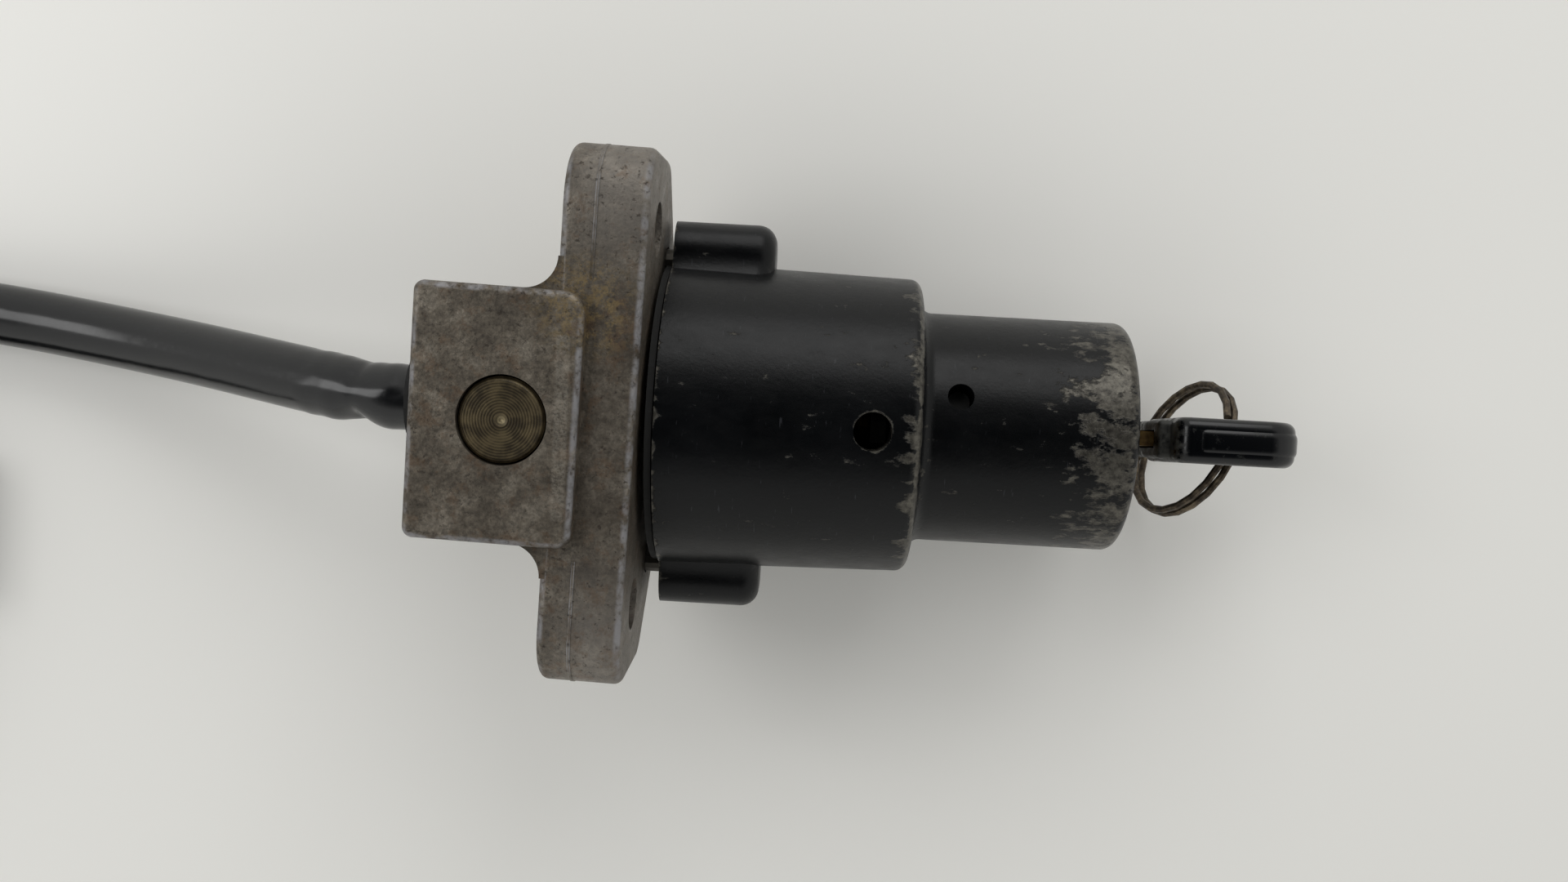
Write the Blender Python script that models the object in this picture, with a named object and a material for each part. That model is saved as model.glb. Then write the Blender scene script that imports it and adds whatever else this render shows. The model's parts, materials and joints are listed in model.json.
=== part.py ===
"""Ignition switch with a steering lock, its key, split ring and sleeved lead, lying on a table.

The barrel's axis runs along X, towards the key. The lock bolt points up, along Z. Sizes are metres.
Every piece is built on the barrel's axis, and one empty lifts that axis to its height above the table.
"""

import bmesh
import bpy
from math import acos, asin, cos, hypot, pi, radians, sin, sqrt, tan
from mathutils import Matrix, Vector

MM = 0.001

# Clearances
SEAT_GAP = 0.3 * MM       # between faces that touch
RUN_GAP = 0.35 * MM       # round a piece that turns or slides

# Housing casting: a flange with a block behind it
FLANGE_T = 12.8 * MM
FLANGE_HALF = 41.4 * MM           # half its length, across the two bolt holes
FLANGE_TOP = 28.3 * MM            # flat side, above the axis
FLANGE_ROUND_R = 27.0 * MM        # the round side that follows the barrel
FLANGE_CORNER_TOP = 9.0 * MM
FLANGE_CORNER_LOW = 6.5 * MM
FLANGE_EDGE = 1.4 * MM
HOUSING_SKEW = radians(-1.4)      # the casting sits a little out of square with the barrel
BOLT_HOLE_R = 4.25 * MM           # clears an M8 bolt
BOLT_HOLE_SPACING = 59.0 * MM
BOLT_HOLE_UP = 15.5 * MM
BLOCK_HALF = 19.0 * MM
BLOCK_REAR = -33.2 * MM
SPOT_FACE = -32.9 * MM            # machined round seat for the rear cover
BLOCK_FRONT = -8.0 * MM
BLOCK_TOP = 31.0 * MM
BLOCK_EDGE = 1.5 * MM
PAD_T = 8.0 * MM
PAD_CORNERS = (1.6 * MM, 3.2 * MM, 2.6 * MM)      # rear, upper front, lower front
BLOCK_BELLY = 3.0 * MM            # its round under side, beyond half its width
WEB_R = 5.0 * MM                  # fillet between the flange and the block's sides
AXIS_HEIGHT = 25.6 * MM           # the flange's foot is cut flat here, below the axis

# Steering lock
LOCK_X = -19.2 * MM
LOCK_BOLT_R = 6.4 * MM
LOCK_BOLT_TRAVEL = 9.0 * MM
LOCK_BOLT_LOW = 10.3 * MM
LOCK_TURN = radians(60)
YOKE_HALF = 12.5 * MM
YOKE_T = 9.6 * MM
YOKE_LOW = -14.8 * MM
YOKE_HIGH = 10.0 * MM
NECK_R = 3.0 * MM
NECK_HEAD_R = 4.6 * MM
NECK_HEAD_T = 2.2 * MM
CAM_R = 11.6 * MM
CAM_REAR = -12.6 * MM
CAM_T = 5.0 * MM
CAM_PIN_R = 1.5 * MM
CAM_PIN_REACH = 4.9 * MM
CAM_HUB_T = 3.7 * MM
CAM_HUB_R = 8.4 * MM
DOG_ANGLE = radians(20)
DOG_AT = radians(90)              # the dog's middle, at rest
DOG_PLAY = radians(1.5)

# Drive shaft, from the contacts at the rear to the plug
SHAFT_TAIL_R = 2.7 * MM
SHAFT_JOURNAL_R = 3.5 * MM
SHAFT_R = 5.0 * MM
SHAFT_REAR = -26.0 * MM
TANG_T = 3.0 * MM
TANG_HALF = 4.5 * MM
TANG_LENGTH = 6.2 * MM
TANG_LEAD = 2.2 * MM              # the tang's root, behind the plug

# Barrel casting
BARREL_REAR = 2.3 * MM
BARREL_R = 25.3 * MM              # at its rear end
BARREL_TAPER = 0.022              # loss of radius for each length
BARREL_STEP = 42.9 * MM
BARREL_STEP_EDGE = 1.8 * MM
NOSE_R = 18.95 * MM
NOSE_END = 76.9 * MM
NOSE_EDGE = 1.85 * MM
NOSE_ROOT_FILLET = 2.2 * MM
NOSE_LIP = 2.0 * MM
NOSE_OPENING_R = 10.2 * MM
BARREL_BORE_R = 20.0 * MM
BARREL_BORE_END = 38.0 * MM
EAR_OUT = 24.9 * MM               # screw ears at both sides, centre from the axis
EAR_R = 6.9 * MM
EAR_END = 18.8 * MM
EAR_EDGE = 3.0 * MM
EAR_FLARE = 2.6 * MM
VENT_X = 35.3 * MM
VENT_R = 2.95 * MM
VENT_ANGLE = 0.031
PIN_HOLE_X = 48.9 * MM
PIN_HOLE_R = 2.06 * MM
PIN_HOLE_ANGLE = 0.345
GASKET_T = 1.0 * MM
GASKET_R = 24.6 * MM
GASKET_BORE_R = 18.0 * MM

# Screws that hold the flange to the barrel's ears
EAR_SCREW_R = 2.4 * MM
EAR_SCREW_HEAD_R = 4.4 * MM
EAR_SCREW_HEAD_T = 3.3 * MM
EAR_SCREW_LENGTH = 25.0 * MM

# Lock cylinder
SLEEVE_R = 12.6 * MM
SLEEVE_LIP_R = 16.0 * MM
SLEEVE_LIP_T = 2.4 * MM
PLUG_R = 8.0 * MM
PLUG_FACE_R = 9.8 * MM
PLUG_FACE_T = 1.7 * MM
PLUG_REAR = 28.8 * MM
PLUG_TAIL_R = 7.4 * MM
CLIP_R = 9.6 * MM
CLIP_T = 1.0 * MM
CLIP_GROOVE = 1.1 * MM
WAFERS = 7
WAFER_FIRST = 42.0 * MM
WAFER_MARGIN = 5.3 * MM            # from the last wafer to the plug's face
WAFER_T = 1.0 * MM
WAFER_HALF = 3.2 * MM
WAFER_REACH = 7.1 * MM
RETAINING_PIN_IN = 9.6 * MM
RETAINING_PIN_OUT = 15.6 * MM

# Bearing plate and click stop behind the lock cylinder
PLATE_R = 19.6 * MM
PLATE_T = 9.0 * MM
DETENT_OUT = 12.0 * MM
DETENT_BALL_R = 1.6 * MM
DETENT_WHEEL_R = 15.0 * MM
DETENT_WHEEL_T = 2.8 * MM
DETENT_DIMPLE = 0.5 * MM
DETENT_WIRE = 0.4 * MM
DETENT_SPRING_TURNS = 3
DETENT_FLOOR = 1.0 * MM           # plate left behind the spring

# Electrical contacts at the rear
BASE_R = 16.2 * MM
BASE_REAR = -32.9 * MM
BASE_FRONT = -27.8 * MM
BASE_HUB_R = 3.4 * MM
BASE_HUB_DEPTH = 2.0 * MM
RECESS_FRONT = -24.8 * MM
CONTACTS = 4
CONTACT_OUT = 7.0 * MM
CONTACT_R = 1.9 * MM
CONTACT_T = 0.6 * MM
CONTACT_PIN_R = 0.9 * MM
CONTACT_TAIL = 2.2 * MM
ROTOR_R = 9.3 * MM
ROTOR_T = 1.2 * MM
BRIDGE_T = 0.5 * MM
BRIDGE_IN = 4.6 * MM
BRIDGE_OUT = 9.0 * MM
BRIDGE_SPAN = radians(130)

# Rear cover
COVER_RIM = 1.2 * MM              # beyond the contact base
COVER_REAR = -39.6 * MM
COVER_WALL = 1.6 * MM
COVER_LUG_R = 3.2 * MM
COVER_LUG_T = 2.0 * MM
COVER_SCREW_R = 1.4 * MM
COVER_SCREW_HEAD_R = 2.6 * MM
COVER_SCREW_HEAD_T = 1.3 * MM
COVER_SCREW_LENGTH = 7.0 * MM
COVER_SCREW_RIM = 3.0 * MM        # screws' centres, beyond the contact base
COVER_SCREW_ANGLES = (45, 135, 270)
GROMMET_REAR = -40.6 * MM
GROMMET_WALL = 1.2 * MM
GROMMET_LIP = 1.4 * MM

# Key
KEY_TILT = radians(-5.6)          # the key, plug and wafers are turned this much from upright
BLADE_T = 2.4 * MM
BLADE_HALF = 4.2 * MM
BLADE_TIP = 38.0 * MM
HEAD_START = 82.4 * MM
HEAD_NECK_END = 84.4 * MM
HEAD_END = 104.6 * MM
HEAD_T = 7.4 * MM
HEAD_NECK_T = 6.2 * MM
HEAD_HALF = 11.5 * MM
HEAD_NECK_HALF = 7.0 * MM
HEAD_CORNER = 5.0 * MM
HEAD_SHOULDER = 2.6 * MM          # its corners beside the neck
HEAD_PANEL_CORNER = 2.2 * MM
HEAD_EDGE = 1.6 * MM
HEAD_RECESS = 0.6 * MM
HEAD_RECESS_MARGIN = 2.6 * MM
HEAD_HOLE_X = 97.0 * MM
HEAD_HOLE_UP = -1.0 * MM
HEAD_HOLE_R = 3.6 * MM
RING_R = 12.05 * MM               # to the middle of the wire
RING_WIRE = 1.3 * MM
RING_PITCH = 1.55 * MM
RING_TURNS = 1.96
RING_END_AT = radians(20)         # the wire's end, from the middle of the head's hole
RING_NORMAL = Vector((0.873, -0.403, -0.274))
RING_HANG = Vector((-4.8, -2.35, -11.2)) * MM    # its middle, from the middle of the head's hole

# Lead: a sleeved bundle of wires
CORD_D = 11.2 * MM
COIL_R = 58.0 * MM
COIL_TURN = radians(270)
CONNECTOR_L = 27.0 * MM
CONNECTOR_W = 20.0 * MM
CONNECTOR_H = 12.5 * MM
SOCKET_PITCH = 5.6 * MM
SOCKET_HALF = 2.0 * MM
SOCKET_DEPTH = 9.0 * MM

ROUND = 44                        # sides of the large round pieces
MIDDLE_ROUND = 30
SMALL_ROUND = 18

X_MIDDLE = (HEAD_END + GROMMET_REAR) / 2
BLOCK_BELLY_R = BLOCK_HALF + BLOCK_BELLY
COVER_R = BASE_R + COVER_RIM
COVER_SCREW_OUT = BASE_R + COVER_SCREW_RIM
CAM_FRONT = CAM_REAR + CAM_T
EAR_SCREW_SEAT = -FLANGE_T + EAR_SCREW_HEAD_T
LOCK_PIN_OUT = LOCK_BOLT_TRAVEL / (2 * sin(LOCK_TURN / 2))
SLEEVE_BORE_R = PLUG_R + RUN_GAP
SLEEVE_REAR = BARREL_BORE_END - SEAT_GAP - SLEEVE_LIP_T
SLEEVE_FRONT = NOSE_END - NOSE_LIP - SEAT_GAP
NOSE_BORE_R = SLEEVE_R + SEAT_GAP
PLUG_FACE_X = SLEEVE_FRONT + SEAT_GAP
WAFER_PITCH = (PLUG_FACE_X - WAFER_MARGIN - WAFER_FIRST) / (WAFERS - 1)
KEYWAY_HALF = BLADE_HALF + RUN_GAP
KEYWAY_T = BLADE_T + 2 * RUN_GAP
COVER_LUGS = [(COVER_SCREW_OUT * cos(radians(a)), COVER_SCREW_OUT * sin(radians(a))) for a in COVER_SCREW_ANGLES]
PLATE_REAR = BARREL_REAR + SEAT_GAP
PLATE_FRONT = PLATE_REAR + PLATE_T
ROTOR_REAR = BASE_FRONT + CONTACT_T + BRIDGE_T + 4 * SEAT_GAP
YOKE_REAR = LOCK_X - YOKE_T / 2
YOKE_FRONT = LOCK_X + YOKE_T / 2
NECK_HEAD_LOW = YOKE_HIGH - 2 * NECK_HEAD_T


def clear_scene():
    for old in list(bpy.data.objects):
        bpy.data.objects.remove(old, do_unlink=True)


def linear(hex_colour):
    """An sRGB hex colour as the linear values that a material takes."""
    parts = [int(hex_colour[i:i + 2], 16) / 255 for i in (1, 3, 5)]
    return [p / 12.92 if p <= 0.04045 else ((p + 0.055) / 1.055) ** 2.4 for p in parts] + [1.0]


def material(name, colour, rough, metal):
    """A named Principled BSDF material, made once."""
    made = bpy.data.materials.get(name)
    if made:
        return made
    made = bpy.data.materials.new(name)
    made.use_nodes = True
    shader = made.node_tree.nodes["Principled BSDF"]
    shader.inputs["Base Color"].default_value = linear(colour)
    shader.inputs["Roughness"].default_value = rough
    shader.inputs["Metallic"].default_value = metal
    return made


FINISHES = {
    "cast": ("die_cast_aluminium", "#6b655e", 0.5, 0.9),
    "paint": ("black_paint", "#15171a", 0.4, 0.0),
    "zinc": ("plated_zinc", "#8f9297", 0.35, 1.0),
    "steel": ("plain_steel", "#7d7a72", 0.35, 1.0),
    "bolt": ("turned_steel", "#6b6047", 0.4, 1.0),
    "brass": ("brass", "#a98a4e", 0.35, 1.0),
    "plastic": ("black_plastic", "#191b1f", 0.45, 0.0),
    "phenolic": ("phenolic_resin", "#5a3a22", 0.55, 0.0),
    "rubber": ("black_rubber", "#141414", 0.75, 0.0),
    "sleeve": ("pvc_sleeve", "#0e0f12", 0.25, 0.0),
}


def place(name, mesh, finish, at=(0.0, 0.0, 0.0)):
    """Makes an object of the mesh, on the barrel's axis frame."""
    obj = bpy.data.objects.new(name, mesh)
    bpy.context.scene.collection.objects.link(obj)
    obj.parent = AXIS
    obj.location = at
    if finish:
        mesh.materials.append(material(*FINISHES[finish]))
    else:
        obj.hide_render = True
        obj.display_type = "WIRE"
    return obj


def finished(bm, name):
    bmesh.ops.remove_doubles(bm, verts=bm.verts, dist=1e-7)
    bmesh.ops.recalc_face_normals(bm, faces=bm.faces)
    mesh = bpy.data.meshes.new(name)
    bm.to_mesh(mesh)
    bm.free()
    mesh.shade_smooth()
    mesh.set_sharp_from_angle(angle=radians(32))
    return mesh


def turned(name, outline, finish, at=(0.0, 0.0, 0.0), sides=ROUND, axis="X", sweep=2 * pi, start=0.0):
    """Spins a closed outline of (along, radius) points about an axis through the object's origin."""
    bm = bmesh.new()
    if axis == "X":
        points = [Vector((a, r * cos(start), r * sin(start))) for a, r in outline]
        about = Vector((1, 0, 0))
    else:
        points = [Vector((r * cos(start), r * sin(start), a)) for a, r in outline]
        about = Vector((0, 0, 1))
    verts = [bm.verts.new(p) for p in points]
    loop = [bm.edges.new((verts[i], verts[(i + 1) % len(verts)])) for i in range(len(verts))]
    whole = abs(sweep - 2 * pi) < 1e-9
    made = bmesh.ops.spin(bm, geom=verts + loop, cent=(0, 0, 0), axis=about, angle=sweep, steps=sides,
                          use_merge=whole)
    if not whole:
        bm.faces.new(verts)
        bm.faces.new([g for g in made["geom_last"] if isinstance(g, bmesh.types.BMVert)])
    return place(name, finished(bm, name), finish, at)


def arc(centre, radius, first, last, steps):
    """Points on an arc in a plane, both ends among them."""
    return [(centre[0] + radius * cos(first + (last - first) * i / steps),
             centre[1] + radius * sin(first + (last - first) * i / steps)) for i in range(steps + 1)]


def rounded(corners, steps=5):
    """A closed outline from (u, v, radius) corners, each turned into an arc of its radius."""
    outline = []
    count = len(corners)
    for i, (u, v, r) in enumerate(corners):
        here = Vector((u, v))
        back = (Vector(corners[i - 1][:2]) - here).normalized()
        ahead = (Vector(corners[(i + 1) % count][:2]) - here).normalized()
        if r <= 0:
            outline.append((u, v))
            continue
        half = acos(max(-1.0, min(1.0, back.dot(ahead)))) / 2
        centre = here + (back + ahead).normalized() * (r / sin(half))
        a = here + back * (r / tan(half)) - centre
        b = here + ahead * (r / tan(half)) - centre
        turn = a.angle_signed(b)
        for k in range(steps + 1):
            p = centre + Matrix.Rotation(-turn * k / steps, 2) @ a
            outline.append((p.x, p.y))
    return outline


def prism(name, outline, along, low, high, finish, at=(0.0, 0.0, 0.0), edge=0.0, segments=2):
    """Extrudes an outline along X, Y or Z, and rounds its edges where an edge radius is given."""
    to_world = {
        "X": lambda u, v, w: (w, u, v),
        "Y": lambda u, v, w: (u, w, v),
        "Z": lambda u, v, w: (u, v, w),
    }[along]
    bm = bmesh.new()
    bottom = [bm.verts.new(to_world(u, v, low)) for u, v in outline]
    face = bm.faces.new(bottom)
    made = bmesh.ops.extrude_face_region(bm, geom=[face])
    shift = Vector(to_world(0, 0, high - low))
    bmesh.ops.translate(bm, vec=shift, verts=[g for g in made["geom"] if isinstance(g, bmesh.types.BMVert)])
    obj = place(name, finished(bm, name), finish, at)
    if edge:
        round_edges(obj, edge, segments)
    return obj


def box(name, low, high, finish, at=(0.0, 0.0, 0.0), edge=0.0, segments=2):
    (x0, y0, z0), (x1, y1, z1) = low, high
    return prism(name, [(x0, y0), (x1, y0), (x1, y1), (x0, y1)], "Z", z0, z1, finish, at, edge, segments)


def round_edges(obj, radius, segments=2):
    bevel = obj.modifiers.new("rounded_edges", "BEVEL")
    bevel.width = radius
    bevel.segments = segments
    bevel.limit_method = "ANGLE"
    bevel.angle_limit = radians(35)


def combine(obj, other, how):
    step = obj.modifiers.new(f"{how.lower()}_{other.name}"[:60], "BOOLEAN")
    step.operation = how
    step.object = other
    step.solver = "EXACT"


def join(obj, *others):
    for other in others:
        combine(obj, other, "UNION")


def cut(obj, *others):
    for other in others:
        combine(obj, other, "DIFFERENCE")


def drill(name, radius, low, high, centre, axis="X", sides=SMALL_ROUND):
    """A round cutter along an axis."""
    outline = [(low, 0), (high, 0), (high, radius), (low, radius)]
    return turned(name, outline, None, centre, sides, axis, start=pi / (2 * sides))


def radial_drill(name, radius, x, angle, inner, outer):
    """A round cutter that points out of the barrel's axis, at an angle from straight up."""
    tool = turned(name, [(inner, 0), (outer, 0), (outer, radius), (inner, radius)], None, (x, 0, 0),
                  SMALL_ROUND, "Z")
    tool.rotation_euler.x = -angle
    return tool


def tube(name, points, diameter, finish, resolution=3):
    """A plain tube along a list of points, its ends closed."""
    curve = bpy.data.curves.new(name, "CURVE")
    curve.dimensions = "3D"
    curve.bevel_depth = diameter / 2
    curve.bevel_resolution = resolution
    curve.use_fill_caps = True
    line = curve.splines.new("POLY")
    line.points.add(len(points) - 1)
    for point, p in zip(line.points, points):
        point.co = (*p, 1.0)
    curve.materials.append(material(*FINISHES[finish]))
    obj = bpy.data.objects.new(name, curve)
    bpy.context.scene.collection.objects.link(obj)
    obj.parent = AXIS
    return obj


def flange_outline():
    """The flange across its length: flat on top, a lobe round each bolt hole, round below, with a flat foot."""
    slant = radians(45)
    foot = sqrt(FLANGE_ROUND_R ** 2 - AXIS_HEIGHT ** 2)
    low_end = -(pi / 2 - asin(foot / FLANGE_ROUND_R))
    turn_down = FLANGE_HALF - FLANGE_ROUND_R / sin(slant)
    right = arc((0, 0), FLANGE_ROUND_R, low_end, -slant, 4)
    lobes = rounded([(FLANGE_ROUND_R * cos(slant), -FLANGE_ROUND_R * sin(slant), 0),
                     (FLANGE_HALF, turn_down, FLANGE_CORNER_LOW),
                     (FLANGE_HALF, FLANGE_TOP, FLANGE_CORNER_TOP),
                     (0, FLANGE_TOP, 0)], 6)
    right += lobes[1:-1]
    return right + [(-y, z) for y, z in reversed(right)]


def housing():
    """The bare casting: flange, block behind it with a raised pad, fillet webs, then its bores."""
    body = prism("lock_housing", flange_outline(), "X", -FLANGE_T, 0, "cast", edge=FLANGE_EDGE)
    belly = sqrt(BLOCK_BELLY_R ** 2 - BLOCK_HALF ** 2)
    side = asin(belly / BLOCK_BELLY_R)
    section = arc((0, 0), BLOCK_BELLY_R, -pi + side, -side, 12) + [(BLOCK_HALF, FLANGE_TOP),
                                                                   (-BLOCK_HALF, FLANGE_TOP)]
    rear = prism("rear_block", section, "X", BLOCK_REAR, -FLANGE_T / 2, None, edge=FLANGE_EDGE)
    rear_r, upper_r, lower_r = PAD_CORNERS
    pad = prism("raised_pad", rounded([(BLOCK_REAR, -BLOCK_HALF, rear_r), (BLOCK_FRONT, -BLOCK_HALF, lower_r),
                                       (BLOCK_FRONT, BLOCK_HALF, upper_r), (BLOCK_REAR, BLOCK_HALF, rear_r)], 3),
                "Z", FLANGE_TOP - PAD_T, BLOCK_TOP, None, edge=BLOCK_EDGE)
    inside = 1.0 * MM
    webs = []
    for side_name, s in (("upper", 1), ("lower", -1)):
        corner = (-FLANGE_T - WEB_R, s * (BLOCK_HALF + WEB_R))
        bend = arc(corner, WEB_R, -s * pi / 2, 0, 6)
        outline = bend + [(-FLANGE_T + 3 * inside, s * (BLOCK_HALF + WEB_R)),
                          (-FLANGE_T + 3 * inside, s * (BLOCK_HALF - inside)),
                          (-FLANGE_T - WEB_R, s * (BLOCK_HALF - inside))]
        webs.append(prism(f"web_{side_name}", outline, "Z", -6 * MM, FLANGE_TOP - 0.12 * MM, None))
    for piece in (body, rear, pad, *webs):
        piece.rotation_euler.z = HOUSING_SKEW
    join(body, rear, pad, *webs)
    seat_r = COVER_SCREW_OUT + COVER_LUG_R + 2 * SEAT_GAP
    cut(body, drill("cover_spot_face", seat_r, BLOCK_REAR - 5 * MM, SPOT_FACE, (0, 0, 0), sides=36))

    for side_name, s in (("upper", 1), ("lower", -1)):
        hole = drill(f"bolt_hole_{side_name}", BOLT_HOLE_R, -FLANGE_T - 2 * MM, 2 * MM,
                     (0, 0, BOLT_HOLE_UP))
        hole.rotation_euler.z = HOUSING_SKEW
        hole.location.x = -sin(HOUSING_SKEW) * s * BOLT_HOLE_SPACING / 2
        hole.location.y = cos(HOUSING_SKEW) * s * BOLT_HOLE_SPACING / 2
        shank = drill(f"ear_screw_hole_{side_name}", EAR_SCREW_R + SEAT_GAP, -FLANGE_T, 2 * MM,
                      (0, s * EAR_OUT, 0))
        head = drill(f"ear_screw_seat_{side_name}", EAR_SCREW_HEAD_R + SEAT_GAP, -FLANGE_T - 8 * MM,
                     EAR_SCREW_SEAT + SEAT_GAP, (0, s * EAR_OUT, 0))
        cut(body, hole, shank, head)
    cam_bore = drill("cam_bore", CAM_R + RUN_GAP, YOKE_FRONT, 3 * MM, (0, 0, 0), sides=36)
    cavity_top = YOKE_HIGH + LOCK_BOLT_TRAVEL + 2 * RUN_GAP
    cavity = box("yoke_cavity", (RECESS_FRONT - 2 * MM, -YOKE_HALF - RUN_GAP, YOKE_LOW - RUN_GAP),
                 (YOKE_FRONT + RUN_GAP, YOKE_HALF + RUN_GAP, cavity_top), None)
    recess = drill("contact_recess", BASE_R + SEAT_GAP, SPOT_FACE - 3 * MM, RECESS_FRONT, (0, 0, 0), sides=36)
    bolt_bore = turned("lock_bolt_bore",
                       [(LOCK_BOLT_LOW, 0), (BLOCK_TOP + 2 * MM, 0),
                        (BLOCK_TOP + 2 * MM, LOCK_BOLT_R + SEAT_GAP), (LOCK_BOLT_LOW, LOCK_BOLT_R + SEAT_GAP)],
                       None, (LOCK_X, 0, 0), 36, "Z")
    cut(body, cam_bore, cavity, recess, bolt_bore)
    for i, (y, z) in enumerate(COVER_LUGS):
        cut(body, drill(f"cover_screw_hole_{i + 1}", COVER_SCREW_R + SEAT_GAP, SPOT_FACE - 2 * MM,
                        SPOT_FACE + COVER_SCREW_LENGTH, (0, y, z)))
    return body


def barrel_radius(x):
    return BARREL_R - BARREL_TAPER * x


def barrel():
    """The painted casting: a large round body that steps down to the nose, with two screw ears."""
    step_r = barrel_radius(BARREL_STEP)
    edge_centre = (BARREL_STEP - BARREL_STEP_EDGE, step_r - BARREL_STEP_EDGE)
    root_centre = (BARREL_STEP + NOSE_ROOT_FILLET, NOSE_R + NOSE_ROOT_FILLET)
    nose_centre = (NOSE_END - NOSE_EDGE, NOSE_R - NOSE_EDGE)
    behind = BARREL_REAR - EAR_EDGE
    outline = [(behind, BARREL_BORE_R), (behind, barrel_radius(behind))]
    outline += arc(edge_centre, BARREL_STEP_EDGE, pi / 2, 0, 2)
    outline += arc(root_centre, NOSE_ROOT_FILLET, pi, 3 * pi / 2, 2)
    outline += arc(nose_centre, NOSE_EDGE, pi / 2, 0, 3)
    outline += [(NOSE_END, NOSE_OPENING_R + 0.5 * MM), (NOSE_END - 0.5 * MM, NOSE_OPENING_R),
                (NOSE_END - NOSE_LIP, NOSE_OPENING_R), (NOSE_END - NOSE_LIP, NOSE_BORE_R),
                (BARREL_BORE_END, NOSE_BORE_R), (BARREL_BORE_END, BARREL_BORE_R)]
    body = turned("barrel", outline, "paint")
    for side_name, s in (("upper", 1), ("lower", -1)):
        shoulder = EAR_R + EAR_FLARE
        inner = BARREL_BORE_R + 1.6 * MM
        outline = rounded([(s * inner, -s * shoulder, 0),
                           (s * (EAR_OUT - 1.0 * MM), -s * (EAR_R + 0.3 * MM), 0),
                           (s * (EAR_OUT + EAR_R), -s * EAR_R, EAR_R * 0.75),
                           (s * (EAR_OUT + EAR_R), s * EAR_R, EAR_R * 0.75),
                           (s * (EAR_OUT - 1.0 * MM), s * (EAR_R + 0.3 * MM), 0),
                           (s * inner, s * shoulder, 0)], 4)
        join(body, prism(f"ear_{side_name}", outline, "X", behind - EAR_EDGE, EAR_END, None, edge=EAR_EDGE))
        cut(body, drill(f"ear_thread_{side_name}", EAR_SCREW_R + SEAT_GAP, BARREL_REAR - 1 * MM,
                        EAR_SCREW_SEAT + EAR_SCREW_LENGTH + SEAT_GAP, (0, s * EAR_OUT, 0)))
    cut(body, drill("rear_trim", 2 * BARREL_R, behind - 2 * EAR_EDGE, BARREL_REAR, (0, 0, 0), sides=16))
    vent = radial_drill("vent_drill", VENT_R, VENT_X, VENT_ANGLE, BARREL_BORE_R - 2 * MM, BARREL_R + 2 * MM)
    pin = radial_drill("pin_drill", PIN_HOLE_R, PIN_HOLE_X, PIN_HOLE_ANGLE, SLEEVE_R - 1 * MM, NOSE_R + 2 * MM)
    cut(body, vent, pin)
    return body


def ring_outline(x0, x1, inner, outer):
    return [(x0, inner), (x1, inner), (x1, outer), (x0, outer)]


def gasket():
    front = BARREL_REAR - SEAT_GAP
    ring = turned("flange_gasket", ring_outline(front - GASKET_T, front, GASKET_BORE_R, GASKET_R), "rubber",
                  start=pi / ROUND)
    for side_name, s in (("upper", 1), ("lower", -1)):
        cut(ring, drill(f"gasket_notch_{side_name}", EAR_SCREW_R + SEAT_GAP, front - 3 * GASKET_T,
                        front + 2 * GASKET_T, (0, s * EAR_OUT, 0)))
    return ring


def screw(name, at, radius, length, head_r, head_t, finish, slot=True):
    """A pan-head screw along +X whose head's under side is at the object's origin."""
    rim = head_t * 0.35
    outline = [(-head_t, 0), (-head_t, head_r - rim), (-head_t + rim, head_r), (0, head_r), (0, radius),
               (length - radius / 2, radius), (length, radius / 2), (length, 0)]
    body = turned(name, outline, finish, at, 14)
    if slot:
        for i, turn in enumerate((0, pi / 2)):
            w, l = head_r * 0.16, head_r * 0.62
            blade = box(f"{name}_slot_{i + 1}", (-head_t - 1 * MM, -w, -l), (-head_t * 0.45, w, l), None, at)
            blade.rotation_euler.x = turn
            cut(body, blade)
    return body


def lock_bolt():
    """The round bolt that enters the steering stem: turned, with a neck and a head that hang in the yoke."""
    chamfer = 0.7 * MM
    pip = 1.0 * MM
    outline = [(NECK_HEAD_LOW, 0), (NECK_HEAD_LOW, NECK_HEAD_R), (NECK_HEAD_LOW + NECK_HEAD_T, NECK_HEAD_R),
               (NECK_HEAD_LOW + NECK_HEAD_T, NECK_R), (LOCK_BOLT_LOW, NECK_R), (LOCK_BOLT_LOW, LOCK_BOLT_R),
               (BLOCK_TOP - chamfer, LOCK_BOLT_R), (BLOCK_TOP, LOCK_BOLT_R - chamfer),
               (BLOCK_TOP, pip), (BLOCK_TOP - 0.35 * MM, 0)]
    return turned("lock_bolt", outline, "bolt", (LOCK_X, 0, 0), 36, "Z")


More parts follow.
